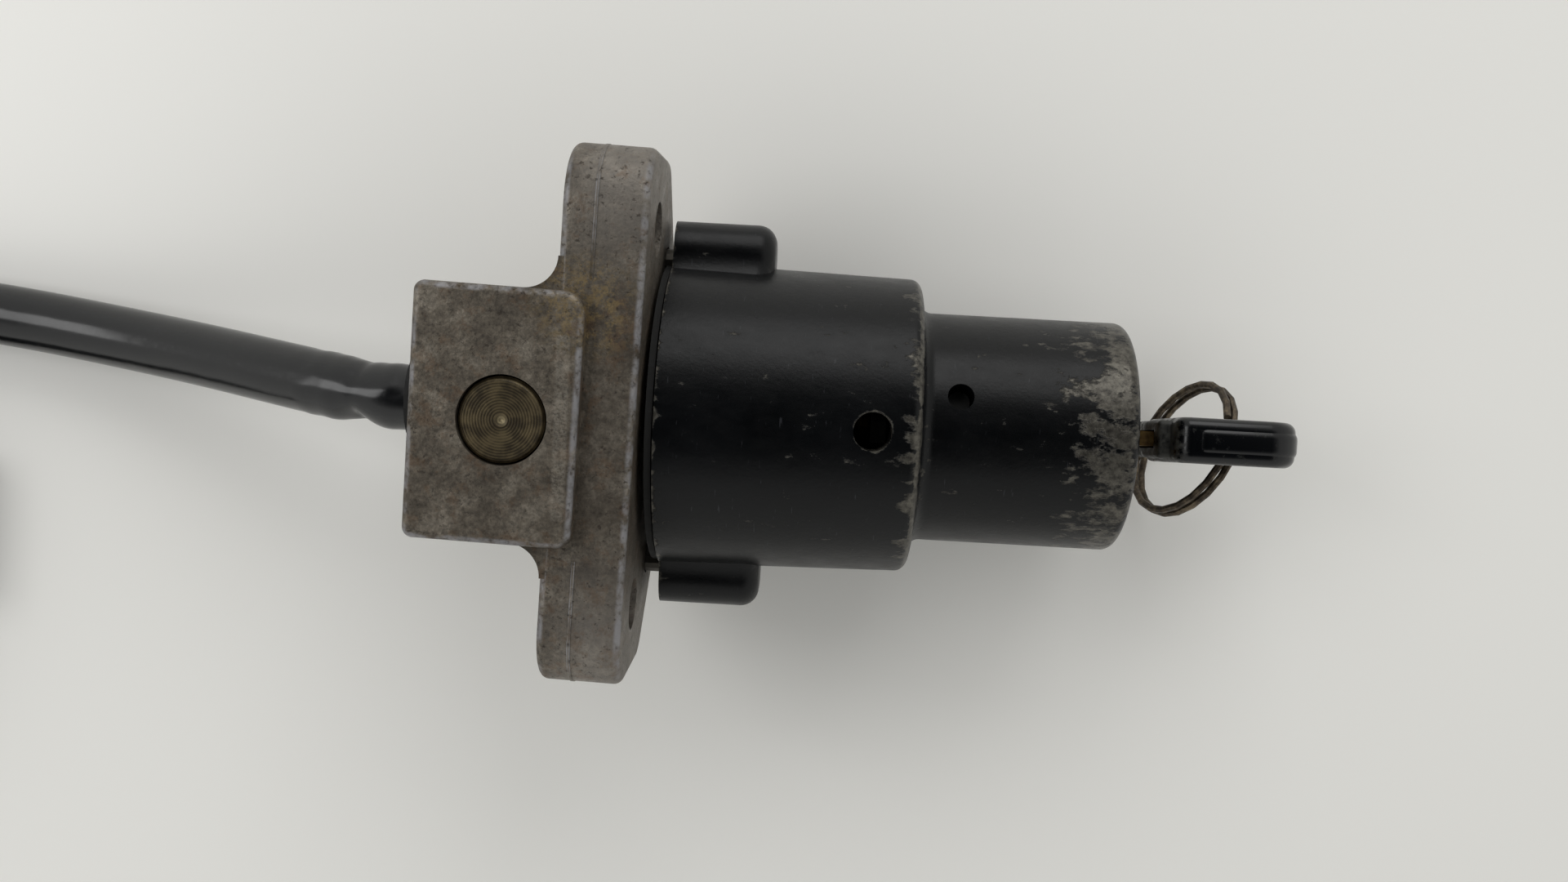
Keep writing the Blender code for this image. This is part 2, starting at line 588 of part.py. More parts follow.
def bolt_yoke():
    """The plate that the cam lifts. It has a window for the shaft, a slot for the cam's pin and one for the bolt."""
    plate = prism("bolt_yoke", rounded([(-YOKE_HALF, YOKE_LOW, 1.5 * MM), (YOKE_HALF, YOKE_LOW, 1.5 * MM),
                                        (YOKE_HALF, YOKE_HIGH, 1.0 * MM), (-YOKE_HALF, YOKE_HIGH, 1.0 * MM)], 3),
                  "X", YOKE_REAR, YOKE_FRONT, "zinc")
    reach = YOKE_T
    half = SHAFT_TAIL_R + RUN_GAP
    window = prism("yoke_window", rounded([(-half, -LOCK_BOLT_TRAVEL - half, half * 0.98),
                                           (half, -LOCK_BOLT_TRAVEL - half, half * 0.98),
                                           (half, half, half * 0.98), (-half, half, half * 0.98)], 4),
                   "X", LOCK_X - reach, LOCK_X + reach, None)
    pin_low = -LOCK_BOLT_TRAVEL / 2
    slot_half = CAM_PIN_R + RUN_GAP
    slot_in = LOCK_PIN_OUT * cos(LOCK_TURN / 2) - slot_half
    slot_out = LOCK_PIN_OUT + slot_half
    slot = prism("yoke_pin_slot", rounded([(slot_in, pin_low - slot_half, slot_half * 0.98),
                                           (slot_out, pin_low - slot_half, slot_half * 0.98),
                                           (slot_out, pin_low + slot_half, slot_half * 0.98),
                                           (slot_in, pin_low + slot_half, slot_half * 0.98)], 4),
                 "X", LOCK_X - reach, LOCK_X + reach, None)
    neck_half = NECK_R + SEAT_GAP
    neck = box("yoke_neck_slot", (LOCK_X - reach, -neck_half, NECK_HEAD_LOW + NECK_HEAD_T / 2),
               (LOCK_X + reach, neck_half, YOKE_HIGH + 2 * MM), None)
    head_half = NECK_HEAD_R + SEAT_GAP
    head = box("yoke_head_slot", (LOCK_X - reach, -head_half, NECK_HEAD_LOW - SEAT_GAP),
               (LOCK_X + reach, head_half, NECK_HEAD_LOW + NECK_HEAD_T + SEAT_GAP), None)
    cut(plate, window, slot, neck, head)
    return plate


def lock_cam():
    """A disc on the shaft with an eccentric pin at the rear and a gapped hub in front for the shaft's dog."""
    bore = SHAFT_JOURNAL_R + RUN_GAP
    disc = turned("lock_cam", ring_outline(CAM_REAR, CAM_FRONT, bore, CAM_R), "zinc", sides=MIDDLE_ROUND)
    gap = LOCK_TURN + DOG_ANGLE + 2 * DOG_PLAY
    hub = turned("cam_hub", ring_outline(CAM_FRONT - 1 * MM, CAM_FRONT + CAM_HUB_T, SHAFT_R + RUN_GAP, CAM_HUB_R),
                 None, sides=20, sweep=2 * pi - gap, start=DOG_AT + DOG_ANGLE / 2 + DOG_PLAY)
    centre = (0, LOCK_PIN_OUT * cos(LOCK_TURN / 2), -LOCK_PIN_OUT * sin(LOCK_TURN / 2))
    pin = turned("cam_pin", [(CAM_REAR - CAM_PIN_REACH, 0), (CAM_REAR + 2 * MM, 0), (CAM_REAR + 2 * MM, CAM_PIN_R),
                             (CAM_REAR - CAM_PIN_REACH, CAM_PIN_R)], None, centre, SMALL_ROUND)
    join(disc, hub, pin)
    return disc


def drive_shaft():
    """Turned shaft: tail in the rotor, journal in the cam, dog for the cam's hub, flat tang for the plug."""
    shoulder = CAM_FRONT + RUN_GAP
    tang_start = PLUG_REAR - TANG_LEAD
    outline = [(SHAFT_REAR, 0), (SHAFT_REAR, SHAFT_TAIL_R), (CAM_REAR - 1 * MM, SHAFT_TAIL_R),
               (CAM_REAR - 1 * MM, SHAFT_JOURNAL_R), (shoulder, SHAFT_JOURNAL_R), (shoulder, SHAFT_R),
               (tang_start, SHAFT_R), (tang_start, 0)]
    body = turned("drive_shaft", outline, "zinc", sides=32)
    dog = turned("shaft_dog", [(shoulder + 0.1 * MM, SHAFT_R - 1 * MM), (CAM_FRONT + CAM_HUB_T, SHAFT_R - 1 * MM),
                               (CAM_FRONT + CAM_HUB_T, CAM_HUB_R), (shoulder + 0.1 * MM, CAM_HUB_R)],
                 None, sides=5, sweep=DOG_ANGLE, start=DOG_AT - DOG_ANGLE / 2)
    tang = box("shaft_tang", (tang_start - 1 * MM, -TANG_T / 2, -TANG_HALF),
               (tang_start + TANG_LENGTH, TANG_T / 2, TANG_HALF), None, edge=0.4 * MM, segments=1)
    join(body, dog, tang)
    return body


def bearing_plate():
    plate = turned("bearing_plate", ring_outline(PLATE_REAR, PLATE_FRONT, SHAFT_R + RUN_GAP, PLATE_R),
                   "zinc", sides=MIDDLE_ROUND)
    cut(plate, drill("detent_pocket", DETENT_BALL_R + SEAT_GAP, PLATE_REAR + DETENT_FLOOR, PLATE_FRONT + 2 * MM,
                     (0, 0, DETENT_OUT)))
    return plate


def detent():
    """Click stop: a ball on a small spring in the bearing plate, and a wheel on the shaft with three dimples."""
    wheel_rear = PLATE_FRONT + 2 * SEAT_GAP
    wheel = turned("detent_wheel", ring_outline(wheel_rear, wheel_rear + DETENT_WHEEL_T, SHAFT_R + SEAT_GAP,
                                                DETENT_WHEEL_R), "steel", sides=MIDDLE_ROUND)
    for i, turn in enumerate((-LOCK_TURN, 0, LOCK_TURN)):
        depth = DETENT_DIMPLE
        mouth = sqrt(DETENT_BALL_R ** 2 - (DETENT_BALL_R - depth) ** 2)
        dimple = turned(f"dimple_{i + 1}", [(wheel_rear - 1 * MM, 0), (wheel_rear + depth, 0), (wheel_rear, mouth),
                                            (wheel_rear - 1 * MM, mouth)], None,
                        (0, DETENT_OUT * sin(turn), DETENT_OUT * cos(turn)), 12)
        cut(wheel, dimple)
    ball_x = wheel_rear - SEAT_GAP - DETENT_BALL_R
    half_circle = [(ball_x - DETENT_BALL_R * cos(a * pi / 6), DETENT_BALL_R * sin(a * pi / 6)) for a in range(7)]
    ball = turned("detent_ball", half_circle, "steel", (0, 0, DETENT_OUT), 14)
    low = PLATE_REAR + DETENT_FLOOR + SEAT_GAP + DETENT_WIRE / 2
    high = ball_x - DETENT_BALL_R - SEAT_GAP - DETENT_WIRE / 2
    steps = 9 * DETENT_SPRING_TURNS
    wire_r = DETENT_BALL_R - DETENT_WIRE
    points = [(low + (high - low) * i / steps, wire_r * cos(2 * pi * i / 9),
               DETENT_OUT + wire_r * sin(2 * pi * i / 9)) for i in range(steps + 1)]
    tube("detent_spring", points, DETENT_WIRE, "steel", 1)
    return wheel, ball


def lock_cylinder():
    """Fixed sleeve, the plug that turns in it with its wafers, and the clip behind it."""
    lip = SLEEVE_REAR + SLEEVE_LIP_T
    sleeve = turned("cylinder_sleeve", [(SLEEVE_REAR, SLEEVE_BORE_R), (SLEEVE_FRONT, SLEEVE_BORE_R),
                                        (SLEEVE_FRONT, SLEEVE_R), (lip, SLEEVE_R), (lip, SLEEVE_LIP_R),
                                        (SLEEVE_REAR, SLEEVE_LIP_R)], "zinc", sides=MIDDLE_ROUND)
    cut(sleeve, radial_drill("sleeve_pin_hole", PIN_HOLE_R, PIN_HOLE_X, PIN_HOLE_ANGLE, SLEEVE_BORE_R - 1 * MM,
                             SLEEVE_R + 2 * MM))
    pin_r = PIN_HOLE_R - SEAT_GAP
    pin = turned("retaining_pin", [(RETAINING_PIN_IN, 0), (RETAINING_PIN_IN, pin_r), (RETAINING_PIN_OUT, pin_r),
                                   (RETAINING_PIN_OUT, 0)], "steel", (PIN_HOLE_X, 0, 0), 16, "Z")
    pin.rotation_euler.x = -PIN_HOLE_ANGLE

    clip_x = SLEEVE_REAR - SEAT_GAP - CLIP_T
    groove_r = PLUG_TAIL_R - CLIP_GROOVE
    groove_low, groove_high = clip_x - SEAT_GAP, clip_x + CLIP_T + SEAT_GAP
    plug = turned("plug", [(PLUG_REAR, 0), (PLUG_REAR, PLUG_TAIL_R), (groove_low, PLUG_TAIL_R),
                           (groove_low, groove_r), (groove_high, groove_r), (groove_high, PLUG_R),
                           (PLUG_FACE_X, PLUG_R), (PLUG_FACE_X, PLUG_FACE_R),
                           (PLUG_FACE_X + PLUG_FACE_T - 0.4 * MM, PLUG_FACE_R),
                           (PLUG_FACE_X + PLUG_FACE_T, PLUG_FACE_R - 0.4 * MM), (PLUG_FACE_X + PLUG_FACE_T, 0)],
                  "brass", sides=MIDDLE_ROUND)
    keyway = box("keyway", (BLADE_TIP - 2 * MM, -KEYWAY_T / 2, -KEYWAY_HALF),
                 (NOSE_END + 2 * MM, KEYWAY_T / 2, KEYWAY_HALF), None)
    tang_slot = box("tang_slot", (PLUG_REAR - 1 * MM, -TANG_T / 2 - SEAT_GAP, -2 * PLUG_R),
                    (PLUG_REAR - TANG_LEAD + TANG_LENGTH + SEAT_GAP, TANG_T / 2 + SEAT_GAP, 2 * PLUG_R), None)
    cut(plug, keyway, tang_slot)
    clip = turned("plug_clip", ring_outline(clip_x, clip_x + CLIP_T, groove_r + SEAT_GAP, CLIP_R), "steel",
                  sides=32, sweep=radians(300), start=radians(120))
    wafers = []
    for i in range(WAFERS):
        x = WAFER_FIRST + i * WAFER_PITCH
        cut(plug, box(f"wafer_slot_{i + 1}", (x - WAFER_T / 2 - SEAT_GAP, -WAFER_HALF - SEAT_GAP, -2 * PLUG_R),
                      (x + WAFER_T / 2 + SEAT_GAP, WAFER_HALF + SEAT_GAP, 2 * PLUG_R), None))
        wafer = prism(f"wafer_{i + 1}", rounded([(-WAFER_HALF, -WAFER_REACH, 1 * MM), (WAFER_HALF, -WAFER_REACH, 1 * MM),
                                                 (WAFER_HALF, WAFER_REACH, 1 * MM),
                                                 (-WAFER_HALF, WAFER_REACH, 1 * MM)], 1),
                      "X", x - WAFER_T / 2, x + WAFER_T / 2, "brass")
        window = box(f"wafer_window_{i + 1}", (x - 2 * MM, -KEYWAY_T / 2, -KEYWAY_HALF),
                     (x + 2 * MM, KEYWAY_T / 2, KEYWAY_HALF), None)
        cut(wafer, window)
        wafers.append(wafer)
    return [sleeve, pin, plug, clip, *wafers]


def contacts():
    """Base with its terminals, and the rotor on the shaft whose bridge joins them."""
    base = turned("switch_base", [(BASE_REAR, 0), (BASE_REAR, BASE_R), (BASE_FRONT, BASE_R), (BASE_FRONT, 0)],
                  "phenolic", sides=MIDDLE_ROUND)
    hub = drill("base_hub_hole", BASE_HUB_R, BASE_FRONT - BASE_HUB_DEPTH, BASE_FRONT + 2 * MM, (0, 0, 0))
    cut(base, hub)
    for i in range(CONTACTS):
        angle = radians(45) + 2 * pi * i / CONTACTS
        centre = (0, CONTACT_OUT * cos(angle), CONTACT_OUT * sin(angle))
        cut(base, drill(f"terminal_hole_{i + 1}", CONTACT_PIN_R + SEAT_GAP, BASE_REAR - 2 * MM,
                        BASE_FRONT + 2 * MM, centre, sides=12))
        pad = BASE_FRONT + SEAT_GAP
        turned(f"terminal_{i + 1}", [(BASE_REAR - CONTACT_TAIL, 0), (BASE_REAR - CONTACT_TAIL, CONTACT_PIN_R),
                                     (pad, CONTACT_PIN_R), (pad, CONTACT_R), (pad + CONTACT_T, CONTACT_R),
                                     (pad + CONTACT_T, 0)], "brass", centre, 12)
    bore = SHAFT_TAIL_R + SEAT_GAP
    rotor = turned("contact_rotor", ring_outline(ROTOR_REAR, ROTOR_REAR + ROTOR_T, bore, ROTOR_R), "plastic",
                   sides=MIDDLE_ROUND)
    bridge_x = ROTOR_REAR - SEAT_GAP - BRIDGE_T
    turned("contact_bridge", ring_outline(bridge_x, bridge_x + BRIDGE_T, BRIDGE_IN, BRIDGE_OUT),
           "brass", sides=16, sweep=BRIDGE_SPAN, start=radians(90) - BRIDGE_SPAN / 2)
    return base, rotor


def rear_cover():
    """Moulded cap over the terminals, with three screw lugs and a hole for the lead's grommet."""
    front = SPOT_FACE - SEAT_GAP
    hole = CORD_D / 2 + SEAT_GAP + GROMMET_WALL + SEAT_GAP
    inner = BASE_R - 1.6 * MM
    seat_x = front - COVER_LUG_T + 0.3 * MM
    outer = [(front, COVER_R), (front - 2.4 * MM, COVER_R), (front - 3.8 * MM, COVER_R - 1.4 * MM),
             (front - 5.4 * MM, COVER_R - 5.4 * MM), (COVER_REAR, hole + 1.2 * MM), (COVER_REAR, hole)]
    inside = [(COVER_REAR + COVER_WALL, hole), (COVER_REAR + COVER_WALL, hole + 0.9 * MM),
              (front - 5.0 * MM + COVER_WALL, inner - 3.4 * MM), (front - 2.2 * MM, inner), (front, inner)]
    cover = turned("rear_cover", outer + inside, "plastic", sides=MIDDLE_ROUND)
    for i, (y, z) in enumerate(COVER_LUGS):
        out = hypot(y, z)
        toward = Vector((y, z)).normalized()
        lug = prism(f"cover_lug_{i + 1}", lug_outline(toward, out), "X",
                    front - COVER_LUG_T, front - 0.2 * MM, None)
        join(cover, lug)
        cut(cover, drill(f"cover_hole_{i + 1}", COVER_SCREW_R + SEAT_GAP,
                         front - 6 * MM, front + 5 * MM, (0, y, z)))
        cut(cover, drill(f"cover_seat_{i + 1}", COVER_SCREW_HEAD_R + SEAT_GAP,
                         front - 8 * MM, seat_x, (0, y, z)))
        screw(f"cover_screw_{i + 1}", (seat_x - SEAT_GAP, y, z), COVER_SCREW_R,
              COVER_SCREW_LENGTH, COVER_SCREW_HEAD_R, COVER_SCREW_HEAD_T, "steel", slot=False)
    lip = hole + GROMMET_LIP
    bore = CORD_D / 2 + SEAT_GAP
    neck = hole - SEAT_GAP
    inside_x = COVER_REAR + COVER_WALL + SEAT_GAP
    outside_x = COVER_REAR - SEAT_GAP
    rim = lip - 0.8 * MM
    turned("cable_grommet", [(GROMMET_REAR, bore), (inside_x + 1.0 * MM, bore), (inside_x + 1.0 * MM, rim),
                             (inside_x, rim), (inside_x, neck), (outside_x, neck), (outside_x, rim),
                             (GROMMET_REAR, rim)][::-1], "rubber", sides=22)
    return cover


def lug_outline(toward, out):
    """A round-ended lug from inside the cover's wall out to the screw."""
    side = Vector((-toward.y, toward.x))
    centre = toward * out
    points = []
    for i in range(7):
        a = -pi / 2 + pi * i / 6
        p = centre + COVER_LUG_R * (cos(a) * toward + sin(a) * side)
        points.append((p.x, p.y))
    root = toward * (COVER_R - 1.3 * MM)
    for s in (1, -1):
        p = root + side * COVER_LUG_R * s
        points.append((p.x, p.y))
    return points


def key():
    """Blade with cut edges, moulded head with sunk panels, and a split ring through its hole."""
    tip = 2.2 * MM
    cut_pitch = WAFER_PITCH
    edge = []
    for i in range(WAFERS):
        x = WAFER_FIRST + i * WAFER_PITCH
        depth = (0.5 + 0.35 * ((i * 5 + 2) % 4)) * MM
        edge += [(x - cut_pitch * 0.36, BLADE_HALF), (x - cut_pitch * 0.12, BLADE_HALF - depth),
                 (x + cut_pitch * 0.12, BLADE_HALF - depth), (x + cut_pitch * 0.36, BLADE_HALF)]
    buried = HEAD_START + 6.0 * MM
    outline = [(BLADE_TIP, -BLADE_HALF + tip), (BLADE_TIP + tip, -BLADE_HALF)]
    outline += [(x, -z) for x, z in edge] + [(buried, -BLADE_HALF), (buried, BLADE_HALF)]
    outline += list(reversed(edge)) + [(BLADE_TIP + tip, BLADE_HALF), (BLADE_TIP, BLADE_HALF - tip)]
    blade = prism("key_blade", outline, "Y", -BLADE_T / 2, BLADE_T / 2, "brass")
    for i, (s, z) in enumerate(((1, 1.4 * MM), (-1, -1.4 * MM))):
        y0, y1 = sorted((s * (BLADE_T / 2 - 0.5 * MM), s * BLADE_T))
        cut(blade, box(f"blade_groove_{i + 1}", (BLADE_TIP - 1 * MM, y0, z - 0.6 * MM),
                       (HEAD_START + 1 * MM, y1, z + 0.6 * MM), None))

    head = prism("key_head", rounded([(HEAD_NECK_END, -HEAD_HALF, HEAD_SHOULDER),
                                      (HEAD_END, -HEAD_HALF, HEAD_CORNER),
                                      (HEAD_END, HEAD_HALF, HEAD_CORNER),
                                      (HEAD_NECK_END, HEAD_HALF, HEAD_SHOULDER)], 4), "Y",
                 -HEAD_T / 2, HEAD_T / 2, "plastic", edge=HEAD_EDGE, segments=3)
    neck = box("key_neck", (HEAD_START, -HEAD_NECK_T / 2, -HEAD_NECK_HALF),
               (HEAD_NECK_END + 4 * MM, HEAD_NECK_T / 2, HEAD_NECK_HALF), None, edge=0.9 * MM)
    join(head, neck)
    slot = box("blade_socket", (HEAD_START - 2 * MM, -BLADE_T / 2 - SEAT_GAP, -BLADE_HALF - SEAT_GAP),
               (buried + SEAT_GAP, BLADE_T / 2 + SEAT_GAP, BLADE_HALF + SEAT_GAP), None)
    hole = turned("ring_hole", [(-HEAD_T, 0), (HEAD_T, 0), (HEAD_T, HEAD_HOLE_R), (-HEAD_T, HEAD_HOLE_R)], None,
                  (HEAD_HOLE_X, 0, HEAD_HOLE_UP), SMALL_ROUND, "Z")
    hole.rotation_euler.x = pi / 2
    cut(head, slot, hole)
    m = HEAD_RECESS_MARGIN
    for i, s in enumerate((1, -1)):
        low, high = sorted((s * (HEAD_T / 2 - HEAD_RECESS), s * HEAD_T))
        panel = prism(f"head_panel_{i + 1}",
                      rounded([(HEAD_NECK_END + m, -HEAD_HALF + m, HEAD_PANEL_CORNER),
                               (HEAD_END - m, -HEAD_HALF + m, HEAD_CORNER - m / 2),
                               (HEAD_END - m, HEAD_HALF - m, HEAD_CORNER - m / 2),
                               (HEAD_NECK_END + m, HEAD_HALF - m, HEAD_PANEL_CORNER)], 3),
                      "Y", low, high, None)
        cut(head, panel)

    centre = Vector((HEAD_HOLE_X, 0, HEAD_HOLE_UP)) + RING_HANG
    normal = RING_NORMAL.normalized()
    outward = (-RING_HANG + normal * RING_HANG.dot(normal)).normalized()
    along = outward.cross(normal)
    steps = 42
    points = []
    for i in range(steps + 1):
        turn = RING_TURNS * i / steps
        a = RING_END_AT + 2 * pi * turn
        lift = RING_PITCH * (turn - RING_TURNS / 2)
        points.append(centre + RING_R * (cos(a) * outward + sin(a) * along) + lift * normal)
    tube("key_ring", points, RING_WIRE, "steel", 2)
    return blade, head


# The lead's route from the barrel's axis, in millimetres: out of the cover, down to the table,
# and on to the coil.
CORD_ROUTE = (
    (-36.6, 0.0, 0.0), (-41.5, 0.0, 0.0), (-47.0, 0.2, -0.4), (-52.0, 0.7, -1.4), (-57.5, 1.4, -3.1),
    (-68.5, 2.8, -7.2), (-79.5, 4.2, -11.4), (-91.0, 5.6, -15.2), (-102.5, 7.0, -18.0), (-113.5, 8.4, -19.5),
    (-124.5, 9.7, -19.9), (-138.0, 11.0, -19.9), (-155.0, 12.4, -19.9), (-172.0, 13.5, -19.9), (-188.0, 14.1, -19.9),
    (-203.0, 14.3, -19.9),
)


def smooth(points, per_span):
    """Points read from a smooth curve through the route's points."""
    points = [Vector(p) for p in points]
    line = [2 * points[0] - points[1], *points, 2 * points[-1] - points[-2]]
    found = []
    for i in range(1, len(line) - 2):
        a, b, c, d = line[i - 1:i + 3]
        for k in range(per_span):
            t = k / per_span
            found.append(0.5 * (2 * b + (c - a) * t + (2 * a - 5 * b + 4 * c - d) * t ** 2
                                + (3 * b - a - 3 * c + d) * t ** 3))
    return [*found, points[-1]]


def lead():
    """Sleeve from the cover down to the table, one open coil outside the view, and its connector."""
    route = [[c * MM for c in p] for p in CORD_ROUTE]
    end = route[-1]
    tube("lead_sleeve", smooth(route, 2), CORD_D, "sleeve", 2)
    coil_x, coil_y = end[0], end[1] - COIL_R
    gap = SEAT_GAP / COIL_R
    section = [(CORD_D / 2 * sin(2 * pi * i / 10), COIL_R + CORD_D / 2 * cos(2 * pi * i / 10)) for i in range(10)]
    turned("lead_coil", section, "sleeve", (coil_x, coil_y, end[2]), 27, "Z", COIL_TURN - gap, pi / 2 + gap)
    mouth_y = coil_y + SEAT_GAP
    x = coil_x + COIL_R
    z = end[2] - CORD_D / 2
    shell = box("connector", (-CONNECTOR_W / 2, 0, 0), (CONNECTOR_W / 2, CONNECTOR_L, CONNECTOR_H), "plastic",
                (x, mouth_y, z), edge=0.8 * MM, segments=2)
    for i in range(6):
        column, row = i % 3, i // 3
        cx = (column - 1) * SOCKET_PITCH
        cz = CONNECTOR_H / 2 + (row - 0.5) * SOCKET_PITCH
        cut(shell, box(f"socket_{i + 1}", (cx - SOCKET_HALF, CONNECTOR_L - SOCKET_DEPTH, cz - SOCKET_HALF),
                       (cx + SOCKET_HALF, CONNECTOR_L + 2 * MM, cz + SOCKET_HALF), None, (x, mouth_y, z)))


clear_scene()
AXIS = bpy.data.objects.new("barrel_axis", None)
bpy.context.scene.collection.objects.link(AXIS)
AXIS.location = (-X_MIDDLE, 0, AXIS_HEIGHT)
KEY_PLANE = bpy.data.objects.new("key_plane", None)
bpy.context.scene.collection.objects.link(KEY_PLANE)
KEY_PLANE.parent = AXIS
KEY_PLANE.rotation_euler.x = KEY_TILT

housing()
barrel()
gasket()
for ear_side, sign in (("upper", 1), ("lower", -1)):
    screw(f"ear_screw_{ear_side}", (EAR_SCREW_SEAT, sign * EAR_OUT, 0), EAR_SCREW_R, EAR_SCREW_LENGTH,
          EAR_SCREW_HEAD_R, EAR_SCREW_HEAD_T, "steel")
lock_bolt()
bolt_yoke()
lock_cam()
drive_shaft()
bearing_plate()
detent()
lock_cylinder()
contacts()
rear_cover()
key()
lead()

# What lies in the key's plane turns with it. The ring hangs straight down from the head's hole.
for piece in bpy.data.objects:
    if piece.name.startswith(("plug", "keyway", "tang", "shaft_tang", "wafer", "key_blade", "blade_", "key_head",
                              "key_neck", "ring_hole", "head_panel")):
        piece.parent = KEY_PLANE
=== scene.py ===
"""Looks of a worn ignition switch with a steering lock, lying on a pale table: a bare casting, a chipped black
barrel, a key with a brass blade and a rusty split ring, and a black sleeved lead. Sizes are in millimetres
unless MM turns them into metres."""

import json
from math import acos, asin, cos, pi, radians, sin, sqrt, tan

import bmesh
import bpy
from mathutils import Matrix, Vector, noise


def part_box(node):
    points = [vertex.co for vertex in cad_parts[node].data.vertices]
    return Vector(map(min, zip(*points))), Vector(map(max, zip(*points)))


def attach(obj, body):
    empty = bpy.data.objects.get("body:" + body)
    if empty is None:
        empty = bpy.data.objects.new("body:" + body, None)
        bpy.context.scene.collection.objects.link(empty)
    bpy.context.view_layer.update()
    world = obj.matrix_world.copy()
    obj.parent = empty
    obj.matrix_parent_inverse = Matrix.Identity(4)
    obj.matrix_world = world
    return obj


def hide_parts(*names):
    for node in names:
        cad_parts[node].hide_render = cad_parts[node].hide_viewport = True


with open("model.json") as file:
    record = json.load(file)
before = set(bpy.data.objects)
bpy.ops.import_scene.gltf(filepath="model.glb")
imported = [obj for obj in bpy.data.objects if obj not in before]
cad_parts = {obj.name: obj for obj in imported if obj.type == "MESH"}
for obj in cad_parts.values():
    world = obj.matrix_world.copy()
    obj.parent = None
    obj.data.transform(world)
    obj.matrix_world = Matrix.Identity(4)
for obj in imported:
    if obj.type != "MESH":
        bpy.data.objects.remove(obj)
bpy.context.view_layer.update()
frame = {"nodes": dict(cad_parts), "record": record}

MM = 0.001
BARREL_REAR = 2.3                # from the flange's front to the barrel's rear
AXIS_HEIGHT = 25.6
# The barrel's axis where it meets the flange's front face.
AXIS_AT = Vector((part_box("barrel")[0][0] - BARREL_REAR * MM, 0, AXIS_HEIGHT * MM))


def spot(x, y, z):
    """A point given in millimetres from the flange's front face, on the barrel's axis."""
    return AXIS_AT + Vector((x, y, z)) * MM


# The camera looks down on the table, at the photo's angle, from 222 mm above the barrel's axis.
camera = bpy.data.objects.new("camera", bpy.data.cameras.new("camera"))
bpy.context.scene.collection.objects.link(camera)
camera.data.lens = 30.42
camera.data.sensor_width = 36
camera.data.clip_start = 0.01
tilt = Matrix.Rotation(-0.056, 3, "Z") @ Matrix.Rotation(-0.016, 3, "Y") @ Matrix.Rotation(0.098, 3, "X")
camera.matrix_world = Matrix.Translation(spot(25.254, 18.094, 222.436)) @ tilt.transposed().to_4x4()
bpy.context.scene.camera = camera
bpy.context.scene.view_settings.view_transform = "Standard"


def linear(hex_colour):
    """An sRGB hex colour as the linear values that a shader takes."""
    parts = [int(hex_colour[i:i + 2], 16) / 255 for i in (1, 3, 5)]
    return [p / 12.92 if p <= 0.04045 else ((p + 0.055) / 1.055) ** 2.4 for p in parts] + [1.0]


def add(tree, kind, sockets, stops=(), **settings):
    """Adds a shader node. Sockets are set to a value or linked to another node's output, by name or number."""
    made = tree.nodes.new(kind)
    for key, value in settings.items():
        setattr(made, key, value)
    for key, value in sockets.items():
        if isinstance(value, bpy.types.NodeSocket):
            tree.links.new(value, made.inputs[key])
        else:
            made.inputs[key].default_value = value
    for i, (at, colour) in enumerate(stops):
        stop = made.color_ramp.elements[i] if i < 2 else made.color_ramp.elements.new(at)
        stop.position = at
        stop.color = linear(colour)
    return made.outputs[0]


def substance(name):
    """A new material, its nodes, its main shader and the place on the object in metres."""
    made = bpy.data.materials.new(name)
    made.use_nodes = True
    tree = made.node_tree
    place = tree.nodes.new("ShaderNodeTexCoord").outputs["Object"]
    return made, tree, tree.nodes["Principled BSDF"], place


def piece(name, mesh, material, body, replaced=()):
    """Puts a mesh in the scene, smooth with its hard edges kept, on a body and in place of CAD nodes."""
    obj = bpy.data.objects.new(name, mesh)
    bpy.context.scene.collection.objects.link(obj)
    if material:
        mesh.materials.append(material)
        mesh.shade_smooth()
        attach(obj, body)
        if replaced:
            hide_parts(*replaced)
    return obj


# The lead: wires in an extruded PVC sleeve, glossy and a little dusty. It leaves the cover, kinks once, drops
# to the table and runs on out of view in one open coil to its connector. It is thick enough to hold its shape.
pvc, tree, shader, place = substance("pvc_sleeve_extruded_gloss")
ripple = add(tree, "ShaderNodeTexNoise", {"Vector": place, "Scale": 1 / (9 * MM), "Detail": 2.0})
dust = add(tree, "ShaderNodeTexNoise", {"Vector": place, "Scale": 1 / (0.7 * MM), "Detail": 4.0})
specks = add(tree, "ShaderNodeValToRGB", {"Fac": dust}, stops=((0.62, "#08090b"), (0.78, "#1d1e20")))
tree.links.new(specks, shader.inputs["Base Color"])
gloss = add(tree, "ShaderNodeMapRange", {"Value": dust, "To Min": 0.12, "To Max": 0.26})
tree.links.new(gloss, shader.inputs["Roughness"])
bump = add(tree, "ShaderNodeBump", {"Height": ripple, "Distance": 0.25 * MM, "Strength": 0.5})
tree.links.new(bump, shader.inputs["Normal"])

CORD_D = 11.2 * MM
COIL_R = 58 * MM
COIL_TURN = radians(270)
COIL_STEPS = 108
KINK_AT = -49.5                  # where the sleeve is pinched, along the barrel's axis
KINK_REACH = 5.5
ROUGH_END = -60                  # the sleeve is uneven from the cover to here
AROUND = 32
CORD_ROUTE = (
    (-36.6, 0.0, 0.0), (-41.5, 0.0, 0.0), (-47.0, 0.2, -0.4), (-52.0, 0.7, -1.4), (-57.5, 1.4, -3.1),
    (-68.5, 2.8, -7.2), (-79.5, 4.2, -11.4), (-91.0, 5.6, -15.2), (-102.5, 7.0, -18.0), (-113.5, 8.4, -19.5),
    (-124.5, 9.7, -19.9), (-138.0, 11.0, -19.9), (-155.0, 12.4, -19.9), (-172.0, 13.5, -19.9),
    (-188.0, 14.1, -19.9), (-203.0, 14.3, -19.9),
)
